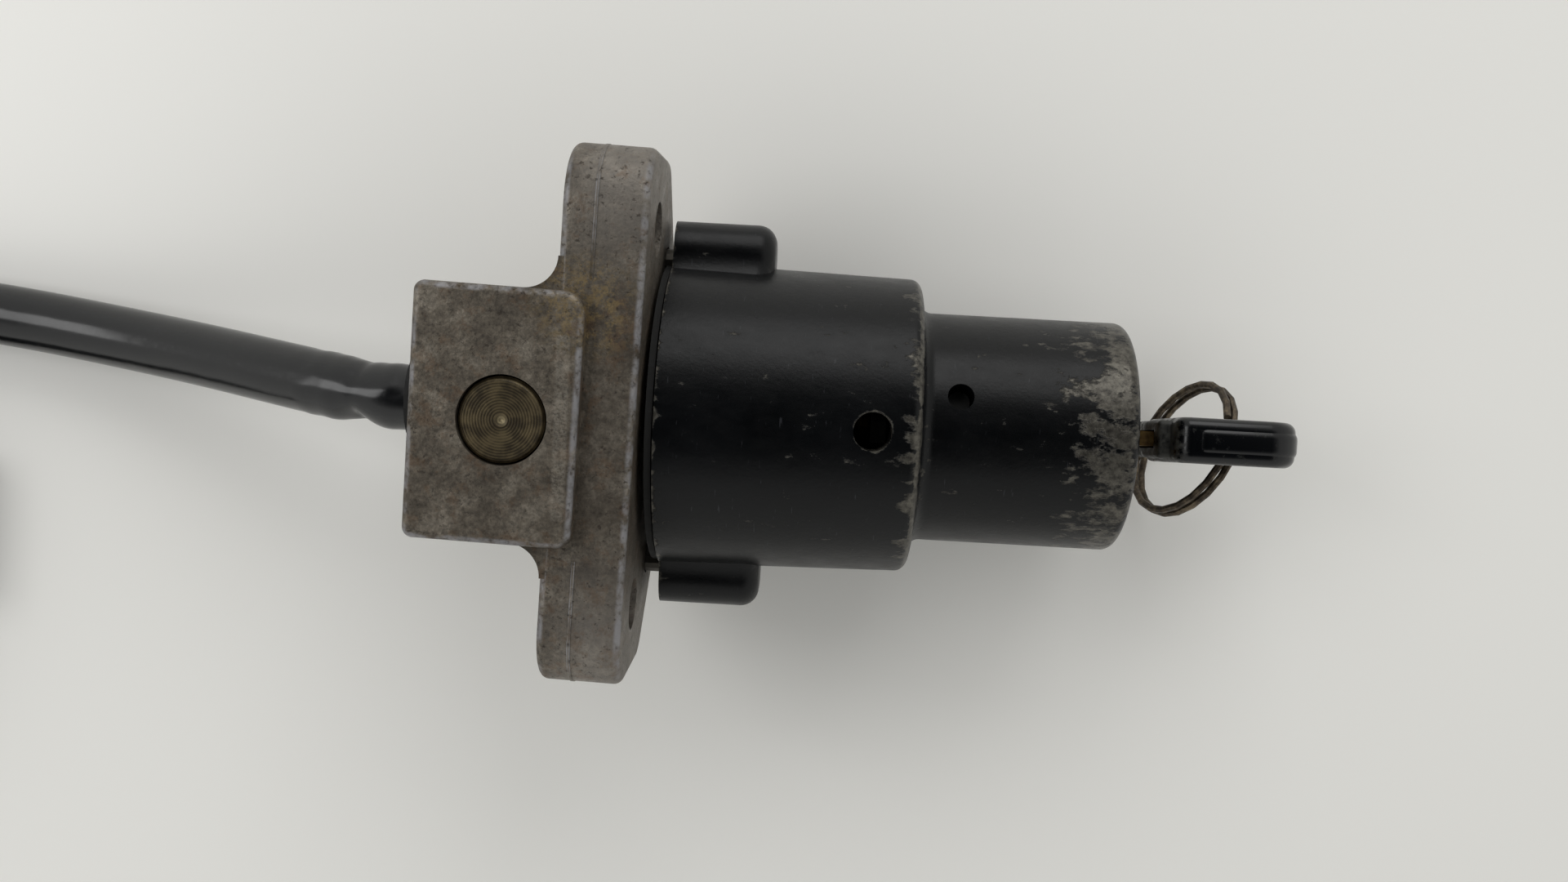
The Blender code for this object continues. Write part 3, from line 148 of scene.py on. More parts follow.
route = [spot(*p) for p in CORD_ROUTE]
ends = [2 * route[0] - route[1], *route, 2 * route[-1] - route[-2]]
line = []
for i in range(1, len(ends) - 2):
    a, b, c, d = ends[i - 1:i + 3]
    for k in range(8):
        t = k / 8
        line.append(0.5 * (2 * b + (c - a) * t + (2 * a - 5 * b + 4 * c - d) * t ** 2
                           + (3 * b - a - 3 * c + d) * t ** 3))
coil_centre = route[-1] - Vector((0, COIL_R, 0))
for i in range(COIL_STEPS + 1):
    a = pi / 2 + COIL_TURN * i / COIL_STEPS
    line.append(coil_centre + COIL_R * Vector((cos(a), sin(a), 0)))
bm = bmesh.new()
rings = []
for i, p in enumerate(line):
    along = (line[min(i + 1, len(line) - 1)] - line[max(i - 1, 0)]).normalized()
    side = Vector((0, 0, 1)).cross(along).normalized()
    up = along.cross(side)
    x = (p.x - AXIS_AT.x) / MM
    pinch = max(0.0, 1 - abs(x - KINK_AT) / KINK_REACH) ** 2 if x > ROUGH_END else 0.0
    ring = []
    for j in range(AROUND):
        a = 2 * pi * j / AROUND
        r = CORD_D / 2
        crease = max(0.0, cos(a - radians(70))) ** 3
        r *= 1 - 0.34 * pinch * crease - 0.10 * pinch * max(0.0, cos(a + radians(60))) ** 2
        if x > ROUGH_END:
            r *= 1 + 0.03 * noise.noise(Vector((x * 0.35, a, 2.0)))
        ring.append(bm.verts.new(p + r * (cos(a) * up + sin(a) * side)))
    rings.append(ring)
for first, second in zip(rings, rings[1:]):
    for j in range(AROUND):
        bm.faces.new((first[j], first[(j + 1) % AROUND], second[(j + 1) % AROUND], second[j]))
bm.faces.new(rings[0][::-1])
bm.faces.new(rings[-1])
bmesh.ops.recalc_face_normals(bm, faces=bm.faces)
mesh = bpy.data.meshes.new("lead")
bm.to_mesh(mesh)
bm.free()
lead = piece("lead", mesh, pvc, "housing", ("lead_sleeve", "lead_coil"))


# The housing: one bare die casting, a flange with a lobe round each bolt hole and, behind it, the lock's block
# with a raised pad. It has aged grey-brown with dark pits, and its round edges are rubbed bright, with a
# painted highlight on them too. It sits 1.4 degrees out of square with the barrel, while its bores are in line
# with the barrel.
CASTING_SKEW = radians(-1.4)
FLANGE_T = 12.8
FLANGE_HALF = 41.4
FLANGE_TOP = 28.3
FLANGE_ROUND_R = 27.0
LOBE_LOW_CORNER = 6.5
LOBE_TOP_CORNER = 9.0
FOOT = 25.6
BLOCK_HALF = 19.0
BLOCK_BELLY_R = 22.0
BLOCK_REAR = -33.2
PAD_FRONT = -8.0
PAD_TOP = 31.0
WEB_R = 5.0
CAST_EDGE = 1.4
PAD_EDGE = 1.3
BOLT_HOLE_AT = (29.5, 15.5)
BOLT_HOLE_R = 4.25
EAR_SCREW_AT = 24.9
EAR_SCREW_HOLE_R = 2.7
EAR_SCREW_SEAT_R = 4.7
COVER_SCREW_AT = 19.2
COVER_SCREW_ANGLES = (45, 135, 270)
COVER_SCREW_HOLE_R = 1.7
SPOT_FACE_R = 23.0
SPOT_FACE = -32.9
CAM_BORE_R = 11.95
RECESS_R = 16.5
RECESS_FRONT = -24.8
LOCK_BOLT_X = -19.2
LOCK_BOLT_BORE_R = 6.7


def turned(name, outline, sides, axis="X", at=(0, 0, 0), start=0.0):
    """A solid of revolution from (along, radius) points in millimetres, about X or Z through a point."""
    bm = bmesh.new()
    c, d = cos(start), sin(start)
    verts = [bm.verts.new((a, r * c, r * d) if axis == "X" else (r * c, r * d, a)) for a, r in outline]
    loop = [bm.edges.new((verts[i], verts[(i + 1) % len(verts)])) for i in range(len(verts))]
    bmesh.ops.spin(bm, geom=verts + loop, cent=(0, 0, 0), axis=(1, 0, 0) if axis == "X" else (0, 0, 1),
                   angle=2 * pi, steps=sides, use_merge=True)
    return settled(bm, name, at)


def settled(bm, name, at=(0, 0, 0)):
    """Closes a mesh that was drawn in millimetres and moves it into the scene's frame."""
    bmesh.ops.remove_doubles(bm, verts=bm.verts, dist=1e-4)
    bmesh.ops.recalc_face_normals(bm, faces=bm.faces)
    bmesh.ops.transform(bm, matrix=Matrix.Scale(MM, 4) @ Matrix.Translation(at), verts=bm.verts)
    bmesh.ops.translate(bm, vec=AXIS_AT, verts=bm.verts)
    mesh = bpy.data.meshes.new(name)
    bm.to_mesh(mesh)
    bm.free()
    return mesh


def arc(centre, radius, first, last, steps):
    return [(centre[0] + radius * cos(first + (last - first) * i / steps),
             centre[1] + radius * sin(first + (last - first) * i / steps)) for i in range(steps + 1)]


def rounded(corners, steps=10):
    """A closed outline from (u, v, radius) corners, each turned into an arc of its radius."""
    outline = []
    for i, (u, v, r) in enumerate(corners):
        here = Vector((u, v))
        if r <= 0:
            outline.append((u, v))
            continue
        back = (Vector(corners[i - 1][:2]) - here).normalized()
        ahead = (Vector(corners[(i + 1) % len(corners)][:2]) - here).normalized()
        half = acos(max(-1.0, min(1.0, back.dot(ahead)))) / 2
        centre = here + (back + ahead).normalized() * (r / sin(half))
        a = here + back * (r / tan(half)) - centre
        turn = a.angle_signed(here + ahead * (r / tan(half)) - centre)
        for k in range(steps + 1):
            p = centre + Matrix.Rotation(-turn * k / steps, 2) @ a
            outline.append((p.x, p.y))
    return outline


def prism(name, outline, axis, low, high, edge=0.0, segments=5, turn=0.0):
    """An outline in millimetres, extruded along an axis, with rounded edges. Turn is its skew about Z."""
    place_at = {"X": lambda u, v, w: (w, u, v), "Y": lambda u, v, w: (u, w, v),
                "Z": lambda u, v, w: (u, v, w)}[axis]
    bm = bmesh.new()
    face = bm.faces.new([bm.verts.new(place_at(u, v, low)) for u, v in outline])
    made = bmesh.ops.extrude_face_region(bm, geom=[face])
    bmesh.ops.translate(bm, vec=place_at(0, 0, high - low),
                        verts=[g for g in made["geom"] if isinstance(g, bmesh.types.BMVert)])
    if edge:
        sharp = [e for e in bm.edges if e.calc_face_angle(0) > radians(35)]
        bmesh.ops.bevel(bm, geom=sharp, offset=edge, segments=segments, profile=0.5, affect="EDGES")
    bmesh.ops.rotate(bm, matrix=Matrix.Rotation(turn, 3, "Z"), verts=bm.verts)
    return settled(bm, name)


def carve(obj, mesh, how="DIFFERENCE"):
    """Cuts a mesh out of an object, or joins it on, at once."""
    tool = piece(mesh.name, mesh, None, None)
    step = obj.modifiers.new(how, "BOOLEAN")
    step.operation = how
    step.object = tool
    step.solver = "EXACT"
    bpy.context.view_layer.update()
    done = bpy.data.meshes.new_from_object(obj.evaluated_get(bpy.context.evaluated_depsgraph_get()))
    obj.modifiers.clear()
    obj.data = done
    bpy.data.objects.remove(tool, do_unlink=True)


def drill(name, radius, low, high, at, axis="X", sides=48):
    return turned(name, [(low, 0), (high, 0), (high, radius), (low, radius)], sides, axis, at, start=0.03)


def dress(obj, material):
    """Gives a carved piece its one material, and smooth faces between sharp edges."""
    obj.data.materials.clear()
    obj.data.materials.append(material)
    obj.data.shade_smooth()
    obj.data.set_sharp_from_angle(angle=radians(30))


# Its metal, an aluminium casting alloy: clouds of some 7 mm with grain under 1 mm, with painted light making
# the lobes paler and painted shade darkening the flange's middle between them.
cast, tree, shader, place = substance("die_cast_metal_aged")
at = add(tree, "ShaderNodeSeparateXYZ", {0: place}).node.outputs
cloud = add(tree, "ShaderNodeTexNoise", {"Vector": place, "Scale": 1 / (7 * MM), "Detail": 8.0,
                                         "Roughness": 0.68})
colour = add(tree, "ShaderNodeValToRGB", {"Fac": cloud},
             stops=((0.34, "#453f37"), (0.66, "#7b7469"), (0.5, "#5c554b")))
grain = add(tree, "ShaderNodeTexNoise", {"Vector": place, "Scale": 1 / (0.9 * MM), "Detail": 5.0,
                                         "Roughness": 0.8})
grain = add(tree, "ShaderNodeMapRange", {"Value": grain, "From Min": 0.32, "From Max": 0.68, "To Min": 0.45,
                                         "To Max": 1.5})
colour = add(tree, "ShaderNodeVectorMath", {0: colour, "Scale": grain}, operation="SCALE")
outward = add(tree, "ShaderNodeMath", {0: at["Y"]}, operation="ABSOLUTE")
outward = add(tree, "ShaderNodeMapRange", {"Value": outward, "From Min": 17 * MM, "From Max": 31 * MM})
# Painted light: the lobes, most towards the flange's front, are mixed towards pale grey.
lobe_painted_light = add(tree, "ShaderNodeMapRange", {"Value": at["X"], "From Min": spot(-14, 0, 0).x,
                                        "From Max": spot(-6, 0, 0).x, "To Max": 0.45})
lobe_painted_light = add(tree, "ShaderNodeMath", {0: lobe_painted_light, 1: outward}, operation="MULTIPLY")
colour = add(tree, "ShaderNodeMixRGB", {"Fac": lobe_painted_light, "Color1": colour, "Color2": linear("#8b8680")})
# Painted shade: the flange's middle, between the lobes and within 7.6 mm of its front face, is mixed towards
# dark brown.
painted_shade_between_lobes = add(tree, "ShaderNodeMapRange", {"Value": outward, "To Min": 0.34, "To Max": 0.0})
on_flange = add(tree, "ShaderNodeMapRange", {"Value": at["X"], "From Min": spot(-9, 0, 0).x,
                                             "From Max": spot(-7.6, 0, 0).x})
painted_shade_between_lobes = add(tree, "ShaderNodeMath", {0: painted_shade_between_lobes, 1: on_flange}, operation="MULTIPLY")
colour = add(tree, "ShaderNodeMixRGB", {"Fac": painted_shade_between_lobes, "Color1": colour, "Color2": linear("#352e27")})

# Brown flecks of dirt up to 4 mm wide, and dark pits of some 0.8 mm.
fleck = add(tree, "ShaderNodeTexNoise", {"Vector": place, "Scale": 1 / (4 * MM), "Detail": 8.0,
                                         "Roughness": 0.78})
fleck = add(tree, "ShaderNodeMapRange", {"Value": fleck, "From Min": 0.52, "From Max": 0.60, "To Max": 0.38})
colour = add(tree, "ShaderNodeMixRGB", {"Fac": fleck, "Color1": colour, "Color2": linear("#5f4833")})
pits = add(tree, "ShaderNodeTexNoise", {"Vector": place, "Scale": 1 / (0.8 * MM), "Detail": 5.0,
                                        "Roughness": 0.7})
pits = add(tree, "ShaderNodeMapRange", {"Value": pits, "From Min": 0.42, "From Max": 0.33, "To Max": 0.75})
colour = add(tree, "ShaderNodeMixRGB", {"Fac": pits, "Color1": colour, "Color2": linear("#2c241d")})

# A yellow-brown stain of old oil, within 9 mm of the corner between the block and the flange.
near = add(tree, "ShaderNodeVectorMath", {0: place, 1: spot(-8, 17, 28)}, operation="DISTANCE")
near = add(tree, "ShaderNodeMapRange", {"Value": near.node.outputs["Value"], "From Min": 9 * MM,
                                        "From Max": 4 * MM})
stain = add(tree, "ShaderNodeTexNoise", {"Vector": place, "Scale": 1 / (1.4 * MM), "Detail": 7.0,
                                         "Roughness": 0.8})
stain = add(tree, "ShaderNodeMapRange", {"Value": stain, "From Min": 0.47, "From Max": 0.58, "To Max": 0.7})
stain = add(tree, "ShaderNodeMath", {0: near, 1: stain}, operation="MULTIPLY")
colour = add(tree, "ShaderNodeMixRGB", {"Fac": stain, "Color1": colour, "Color2": linear("#83704c")})

# Round edges rubbed bright and given a painted highlight, in patches, where the surface leans between up and
# sideways.
facing = add(tree, "ShaderNodeSeparateXYZ", {0: place.node.outputs["Normal"]}).node.outputs
front_edge = add(tree, "ShaderNodeMath", {0: facing["X"], 1: facing["Z"]}, operation="MULTIPLY")
front_edge = add(tree, "ShaderNodeMath", {0: front_edge}, operation="ABSOLUTE")
pad_side = add(tree, "ShaderNodeMath", {0: facing["Y"], 1: facing["Z"]}, operation="MULTIPLY")
pad_side = add(tree, "ShaderNodeMath", {0: pad_side}, operation="ABSOLUTE")
raised = add(tree, "ShaderNodeMapRange", {"Value": at["Z"], "From Min": spot(0, 0, 28.4).z,
                                          "From Max": spot(0, 0, 28.9).z})
pad_side = add(tree, "ShaderNodeMath", {0: pad_side, 1: raised}, operation="MULTIPLY")
edge = add(tree, "ShaderNodeMath", {0: front_edge, 1: pad_side}, operation="MAXIMUM")
edge = add(tree, "ShaderNodeMapRange", {"Value": edge, "From Min": 0.18, "From Max": 0.42})
rubbed_and_highlit_patches = add(tree, "ShaderNodeTexNoise", {"Vector": place, "Scale": 1 / (3.2 * MM), "Detail": 5.0,
                                           "Roughness": 0.65})
rubbed_and_highlit_patches = add(tree, "ShaderNodeMapRange", {"Value": rubbed_and_highlit_patches, "From Min": 0.40, "From Max": 0.60,
                                           "To Max": 0.72})
edge = add(tree, "ShaderNodeMath", {0: edge, 1: rubbed_and_highlit_patches}, operation="MULTIPLY")
colour = add(tree, "ShaderNodeMixRGB", {"Fac": edge, "Color1": colour, "Color2": linear("#909094")})

# A rough band 2.3 mm wide and 27 mm long in the pad's top, beside its front edge.
band = add(tree, "ShaderNodeMath", {0: at["X"], 1: spot(-10.5, 0, 0).x}, operation="SUBTRACT")
band = add(tree, "ShaderNodeMath", {0: band}, operation="ABSOLUTE")
band = add(tree, "ShaderNodeMapRange", {"Value": band, "From Min": 1.15 * MM, "From Max": 0.75 * MM})
reach = add(tree, "ShaderNodeMath", {0: at["Y"], 1: spot(0, -0.8, 0).y}, operation="SUBTRACT")
reach = add(tree, "ShaderNodeMath", {0: reach}, operation="ABSOLUTE")
reach = add(tree, "ShaderNodeMapRange", {"Value": reach, "From Min": 13.7 * MM, "From Max": 13.3 * MM})
band = add(tree, "ShaderNodeMath", {0: band, 1: reach}, operation="MULTIPLY")
on_pad = add(tree, "ShaderNodeMapRange", {"Value": at["Z"], "From Min": spot(0, 0, 30.8).z,
                                          "From Max": spot(0, 0, 30.95).z})
band = add(tree, "ShaderNodeMath", {0: band, 1: on_pad}, operation="MULTIPLY")
marks = add(tree, "ShaderNodeTexNoise", {"Vector": place, "Scale": 1 / (0.5 * MM), "Detail": 5.0,
                                         "Roughness": 0.8})
marks = add(tree, "ShaderNodeMapRange", {"Value": marks, "From Min": 0.42, "From Max": 0.62, "To Max": 0.5})
marks = add(tree, "ShaderNodeMath", {0: marks, 1: band}, operation="MULTIPLY")
colour = add(tree, "ShaderNodeMixRGB", {"Fac": marks, "Color1": colour, "Color2": linear("#8f8a80")})
tree.links.new(colour, shader.inputs["Base Color"])
shader.inputs["Metallic"].default_value = 0.55
rough = add(tree, "ShaderNodeMapRange", {"Value": cloud, "From Min": 0.3, "From Max": 0.7, "To Min": 0.62,
                                         "To Max": 0.42})
tree.links.new(rough, shader.inputs["Roughness"])
skin = add(tree, "ShaderNodeTexNoise", {"Vector": place, "Scale": 1 / (0.5 * MM), "Detail": 6.0,
                                        "Roughness": 0.6})
height = add(tree, "ShaderNodeMath", {0: skin, 1: pits}, operation="SUBTRACT")
height = add(tree, "ShaderNodeMath", {0: height, 1: marks}, operation="ADD")
bump = add(tree, "ShaderNodeBump", {"Height": height, "Distance": 0.16 * MM, "Strength": 0.7})
tree.links.new(bump, shader.inputs["Normal"])

# Its shape: the flange is round below, flat on its foot and on the side towards the viewer.
slant = radians(45)
corner_z = FLANGE_HALF - FLANGE_ROUND_R / sin(slant)
foot_half = sqrt(FLANGE_ROUND_R ** 2 - FOOT ** 2)
half = arc((0, 0), FLANGE_ROUND_R, asin(foot_half / FLANGE_ROUND_R) - pi / 2, -slant, 12)
half += rounded([(FLANGE_ROUND_R * cos(slant), -FLANGE_ROUND_R * sin(slant), 0),
                 (FLANGE_HALF, corner_z, LOBE_LOW_CORNER), (FLANGE_HALF, FLANGE_TOP, LOBE_TOP_CORNER),
                 (0, FLANGE_TOP, 0)], 14)[1:-1]
outline = half + [(-y, z) for y, z in reversed(half)]
flange = prism("flange", outline, "X", -FLANGE_T, 0, CAST_EDGE, 6, CASTING_SKEW)
housing = piece("housing_casting", flange, None, None)
belly = asin(sqrt(BLOCK_BELLY_R ** 2 - BLOCK_HALF ** 2) / BLOCK_BELLY_R)
section = arc((0, 0), BLOCK_BELLY_R, belly - pi, -belly, 30)
section += [(BLOCK_HALF, FLANGE_TOP), (-BLOCK_HALF, FLANGE_TOP)]
carve(housing, prism("block", section, "X", BLOCK_REAR, -FLANGE_T / 2, CAST_EDGE, 5, CASTING_SKEW), "UNION")
pad = rounded([(BLOCK_REAR, -BLOCK_HALF, 1.6), (PAD_FRONT, -BLOCK_HALF, 2.6), (PAD_FRONT, BLOCK_HALF, 3.2),
               (BLOCK_REAR, BLOCK_HALF, 1.6)])
carve(housing, prism("pad", pad, "Z", FLANGE_TOP - 8, PAD_TOP, PAD_EDGE, 6, CASTING_SKEW), "UNION")
for s in (1, -1):
    web_out = s * (BLOCK_HALF + WEB_R)
    web_in = s * (BLOCK_HALF - 1)
    web = arc((-FLANGE_T - WEB_R, web_out), WEB_R, -s * pi / 2, 0, 14)
    web += [(-FLANGE_T + 3, web_out), (-FLANGE_T + 3, web_in), (-FLANGE_T - WEB_R, web_in)]
    carve(housing, prism("web", web, "Z", -6, FLANGE_TOP - 0.12, turn=CASTING_SKEW), "UNION")

# Its holes: the cover's spot face, bolts, ear screws with their seats, cover screws, and the lock's bores.
carve(housing, drill("cover_spot_face", SPOT_FACE_R, -38.0, SPOT_FACE, (0, 0, 0), sides=96))
for s in (1, -1):
    hole = Matrix.Rotation(CASTING_SKEW, 3, "Z") @ Vector((0, s * BOLT_HOLE_AT[0], BOLT_HOLE_AT[1]))
    carve(housing, drill("bolt_hole", BOLT_HOLE_R, -20, 5, hole))
    carve(housing, drill("screw_hole", EAR_SCREW_HOLE_R, -20, 5, (0, s * EAR_SCREW_AT, 0)))
    carve(housing, drill("screw_seat", EAR_SCREW_SEAT_R, -24, -9.2, (0, s * EAR_SCREW_AT, 0)))
for a in COVER_SCREW_ANGLES:
    hole = (0, COVER_SCREW_AT * cos(radians(a)), COVER_SCREW_AT * sin(radians(a)))
    carve(housing, drill("cover_hole", COVER_SCREW_HOLE_R, -36, -26, hole, sides=24))
carve(housing, drill("cam_bore", CAM_BORE_R, -14.4, 5, (0, 0, 0), sides=96))
carve(housing, drill("contact_recess", RECESS_R, -38, RECESS_FRONT, (0, 0, 0), sides=96))
carve(housing, drill("lock_bolt_bore", LOCK_BOLT_BORE_R, 10.3, 34, (LOCK_BOLT_X, 0, 0), "Z", 96))
cavity = [(-26.8, -12.85), (-14.05, -12.85), (-14.05, 12.85), (-26.8, 12.85)]
carve(housing, prism("yoke_cavity", cavity, "Z", -15.15, 19.7))
dress(housing, cast)
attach(housing, "housing")
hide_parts("lock_housing")

# The mould's parting line, a cast ridge 0.5 mm wide and 0.1 mm high round each lobe's rim, where the mould's
# halves met a little behind the flange's middle.
RIDGE_FROM = 21                  # it starts this far from the axis
for s, side_name in ((1, "upper"), (-1, "lower")):
    rim = [(s * (y + 0.08), z + (0.1 if z > 10 else -0.06)) for y, z in half if y > RIDGE_FROM]
    rim += [(s * RIDGE_FROM, FLANGE_TOP + 0.1), (s * RIDGE_FROM, 0)]
    ridge = piece(f"parting_line_{side_name}",
                  prism("parting_line", rim, "X", -8.0, -7.5, turn=CASTING_SKEW), cast, "housing")

# The barrel: a casting that tapers slightly and steps down to the nose through a fillet, with a screw ear at
# each side and a vent and a pin hole in its top. It was sprayed satin black and has long since worn, with chips
# along both front edges, most at the nose, and a ragged edge at the rear.
REAR_R = 25.3
TAPER = 0.022
STEP = 42.9
STEP_EDGE = 1.8
STEP_FILLET = 2.2
NOSE_R = 18.95
NOSE_END = 76.9
NOSE_EDGE = 1.85
MOUTH_R = 10.2
BORE_R = 12.9
BORE_END = 38.0
RECESS_WALL_R = 20.0
EAR_OUT = 31.8
EAR_END = 18.8
VENT = (35.3, 2.95, 0.031)       # place along the axis, radius, and turn about the axis
PIN_HOLE = (48.9, 2.06, 0.345)

# Where the paint is lost: flakes of some 2 mm, drawn out along the axis, at the vent's rim, over the nose's
# last 15 mm, at the step's crest and at the rear. The faces that look forward lose less.
paint, tree, shader, place = substance("black_paint_on_cast_metal")
x_at = add(tree, "ShaderNodeSeparateXYZ", {0: place}).node.outputs["X"]
drawn = add(tree, "ShaderNodeVectorMath", {0: place, 1: (0.55, 1.0, 1.0)}, operation="MULTIPLY")
flake = add(tree, "ShaderNodeTexNoise", {"Vector": drawn, "Scale": 1 / (2.3 * MM), "Detail": 8.0,
                                         "Roughness": 0.66})
patch = add(tree, "ShaderNodeTexNoise", {"Vector": place, "Scale": 1 / (14 * MM), "Detail": 3.0})
vent_at = spot(VENT[0], 0.76, 0)
from_vent = add(tree, "ShaderNodeVectorMath", {0: place, 1: (1.0, 1.0, 0.0)}, operation="MULTIPLY")
from_vent = add(tree, "ShaderNodeVectorMath", {0: from_vent, 1: (vent_at.x, vent_at.y, 0.0)},
                operation="DISTANCE")
rim = add(tree, "ShaderNodeMapRange", {"Value": from_vent.node.outputs["Value"], "From Min": 3.5 * MM,
                                       "From Max": 3.0 * MM, "To Max": 0.2})
nose = add(tree, "ShaderNodeMapRange", {"Value": x_at, "From Min": spot(60, 0, 0).x,
                                        "From Max": spot(75.5, 0, 0).x, "To Max": 0.30})
nose_patch = add(tree, "ShaderNodeMapRange", {"Value": patch, "From Min": 0.35, "From Max": 0.65,
                                              "To Min": 0.55, "To Max": 1.25})
nose = add(tree, "ShaderNodeMath", {0: nose, 1: nose_patch}, operation="MULTIPLY")
loss = add(tree, "ShaderNodeMath", {0: nose, 1: rim}, operation="MAXIMUM")
for middle, wide, narrow, most in ((42.0, 3.4, 0.2, 0.17), (42.5, 0.9, 0.25, 0.36)):
    crest = add(tree, "ShaderNodeMath", {0: x_at, 1: spot(middle, 0, 0).x}, operation="SUBTRACT")
    crest = add(tree, "ShaderNodeMath", {0: crest}, operation="ABSOLUTE")
    crest = add(tree, "ShaderNodeMapRange", {"Value": crest, "From Min": wide * MM, "From Max": narrow * MM,
                                             "To Max": most})
    loss = add(tree, "ShaderNodeMath", {0: loss, 1: crest}, operation="MAXIMUM")
rear = add(tree, "ShaderNodeMapRange", {"Value": x_at, "From Min": spot(3.2, 0, 0).x,
                                        "From Max": spot(BARREL_REAR, 0, 0).x, "To Max": 0.2})
loss = add(tree, "ShaderNodeMath", {0: loss, 1: rear}, operation="MAXIMUM")
facing = add(tree, "ShaderNodeSeparateXYZ", {0: place.node.outputs["Normal"]}).node.outputs
ahead = add(tree, "ShaderNodeMapRange", {"Value": facing["X"], "From Min": 0.75, "From Max": 0.98,
                                         "To Min": 1.0, "To Max": 0.3})
loss = add(tree, "ShaderNodeMath", {0: loss, 1: ahead}, operation="MULTIPLY")
loss = add(tree, "ShaderNodeMath", {0: loss, 1: flake}, operation="ADD")
chip = add(tree, "ShaderNodeMapRange", {"Value": loss, "From Min": 0.65, "From Max": 0.73})

# The paint itself, nearly black with faint scratches round the barrel and the fine orange peel of a spray gun,
# and the grey-brown casting that the chips lay bare.
drawn = add(tree, "ShaderNodeVectorMath", {0: place, 1: (1.0, 0.12, 0.12)}, operation="MULTIPLY")
scratch = add(tree, "ShaderNodeTexNoise", {"Vector": drawn, "Scale": 1 / (0.35 * MM), "Detail": 2.0})
scratch = add(tree, "ShaderNodeMapRange", {"Value": scratch, "From Min": 0.70, "From Max": 0.76,
                                           "To Max": 0.5})
bare = add(tree, "ShaderNodeTexNoise", {"Vector": place, "Scale": 1 / (1.1 * MM), "Detail": 6.0,
                                        "Roughness": 0.7})
bare = add(tree, "ShaderNodeValToRGB", {"Fac": bare}, stops=((0.35, "#33312e"), (0.62, "#5f5c55")))
colour = add(tree, "ShaderNodeValToRGB", {"Fac": patch}, stops=((0.35, "#030405"), (0.65, "#07080a")))
colour = add(tree, "ShaderNodeMixRGB", {"Fac": scratch, "Color1": colour, "Color2": linear("#35363a")})
colour = add(tree, "ShaderNodeMixRGB", {"Fac": chip, "Color1": colour, "Color2": bare})
tree.links.new(colour, shader.inputs["Base Color"])
shader.inputs["Specular IOR Level"].default_value = 0.20
metallic = add(tree, "ShaderNodeMath", {0: chip, 1: 0.6}, operation="MULTIPLY")
tree.links.new(metallic, shader.inputs["Metallic"])
rough = add(tree, "ShaderNodeMapRange", {"Value": flake, "From Min": 0.3, "From Max": 0.7, "To Min": 0.26,
                                         "To Max": 0.38})
tree.links.new(rough, shader.inputs["Roughness"])
peel = add(tree, "ShaderNodeTexNoise", {"Vector": place, "Scale": 1 / (0.7 * MM), "Detail": 5.0,
                                        "Roughness": 0.65})
height = add(tree, "ShaderNodeMath", {0: peel, 1: 0.6}, operation="MULTIPLY")
height = add(tree, "ShaderNodeMath", {0: height, 1: chip}, operation="SUBTRACT")
bump = add(tree, "ShaderNodeBump", {"Height": height, "Distance": 0.09 * MM, "Strength": 0.6})
tree.links.new(bump, shader.inputs["Normal"])

# Its shape, turned with 3 mm too much at the rear so that the ears and the body are trimmed together.
step_r = REAR_R - TAPER * STEP
profile = [(BARREL_REAR - 3, RECESS_WALL_R), (BARREL_REAR - 3, REAR_R - TAPER * (BARREL_REAR - 3))]
profile += arc((STEP - STEP_EDGE, step_r - STEP_EDGE), STEP_EDGE, pi / 2, 0, 10)
profile += arc((STEP + STEP_FILLET, NOSE_R + STEP_FILLET), STEP_FILLET, pi, 3 * pi / 2, 10)
profile += arc((NOSE_END - NOSE_EDGE, NOSE_R - NOSE_EDGE), NOSE_EDGE, pi / 2, 0, 12)
profile += [(NOSE_END, MOUTH_R + 0.5), (NOSE_END - 0.5, MOUTH_R), (NOSE_END - 2, MOUTH_R),
            (NOSE_END - 2, BORE_R), (BORE_END, BORE_R), (BORE_END, RECESS_WALL_R)]
barrel = piece("barrel_casting", turned("barrel_casting", profile, 192), None, None)
for s in (1, -1):
    outline = rounded([(s * 21.6, -s * 9.5, 0), (s * 23.9, -s * 7.2, 0), (s * EAR_OUT, -s * 6.9, 5.2),
                       (s * EAR_OUT, s * 6.9, 5.2), (s * 23.9, s * 7.2, 0), (s * 21.6, s * 9.5, 0)], 12)
    carve(barrel, prism("ear", outline, "X", BARREL_REAR - 6, EAR_END, 3.0, 8), "UNION")
    carve(barrel, drill("ear_thread", EAR_SCREW_HOLE_R, -8, EAR_END - 3, (0, s * EAR_SCREW_AT, 0)))
carve(barrel, drill("rear_trim", 50, -12, BARREL_REAR, (0, 0, 0)))
for x, r, turn in (VENT, PIN_HOLE):
    hole = drill("hole", r, 8, 30, (0, 0, 0), "Z")
    hole.transform(Matrix.Translation(AXIS_AT + Vector((x * MM, 0, 0))) @ Matrix.Rotation(-turn, 4, "X")
                   @ Matrix.Translation(-AXIS_AT))
    carve(barrel, hole)
dress(barrel, paint)
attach(barrel, "housing")
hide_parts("barrel")

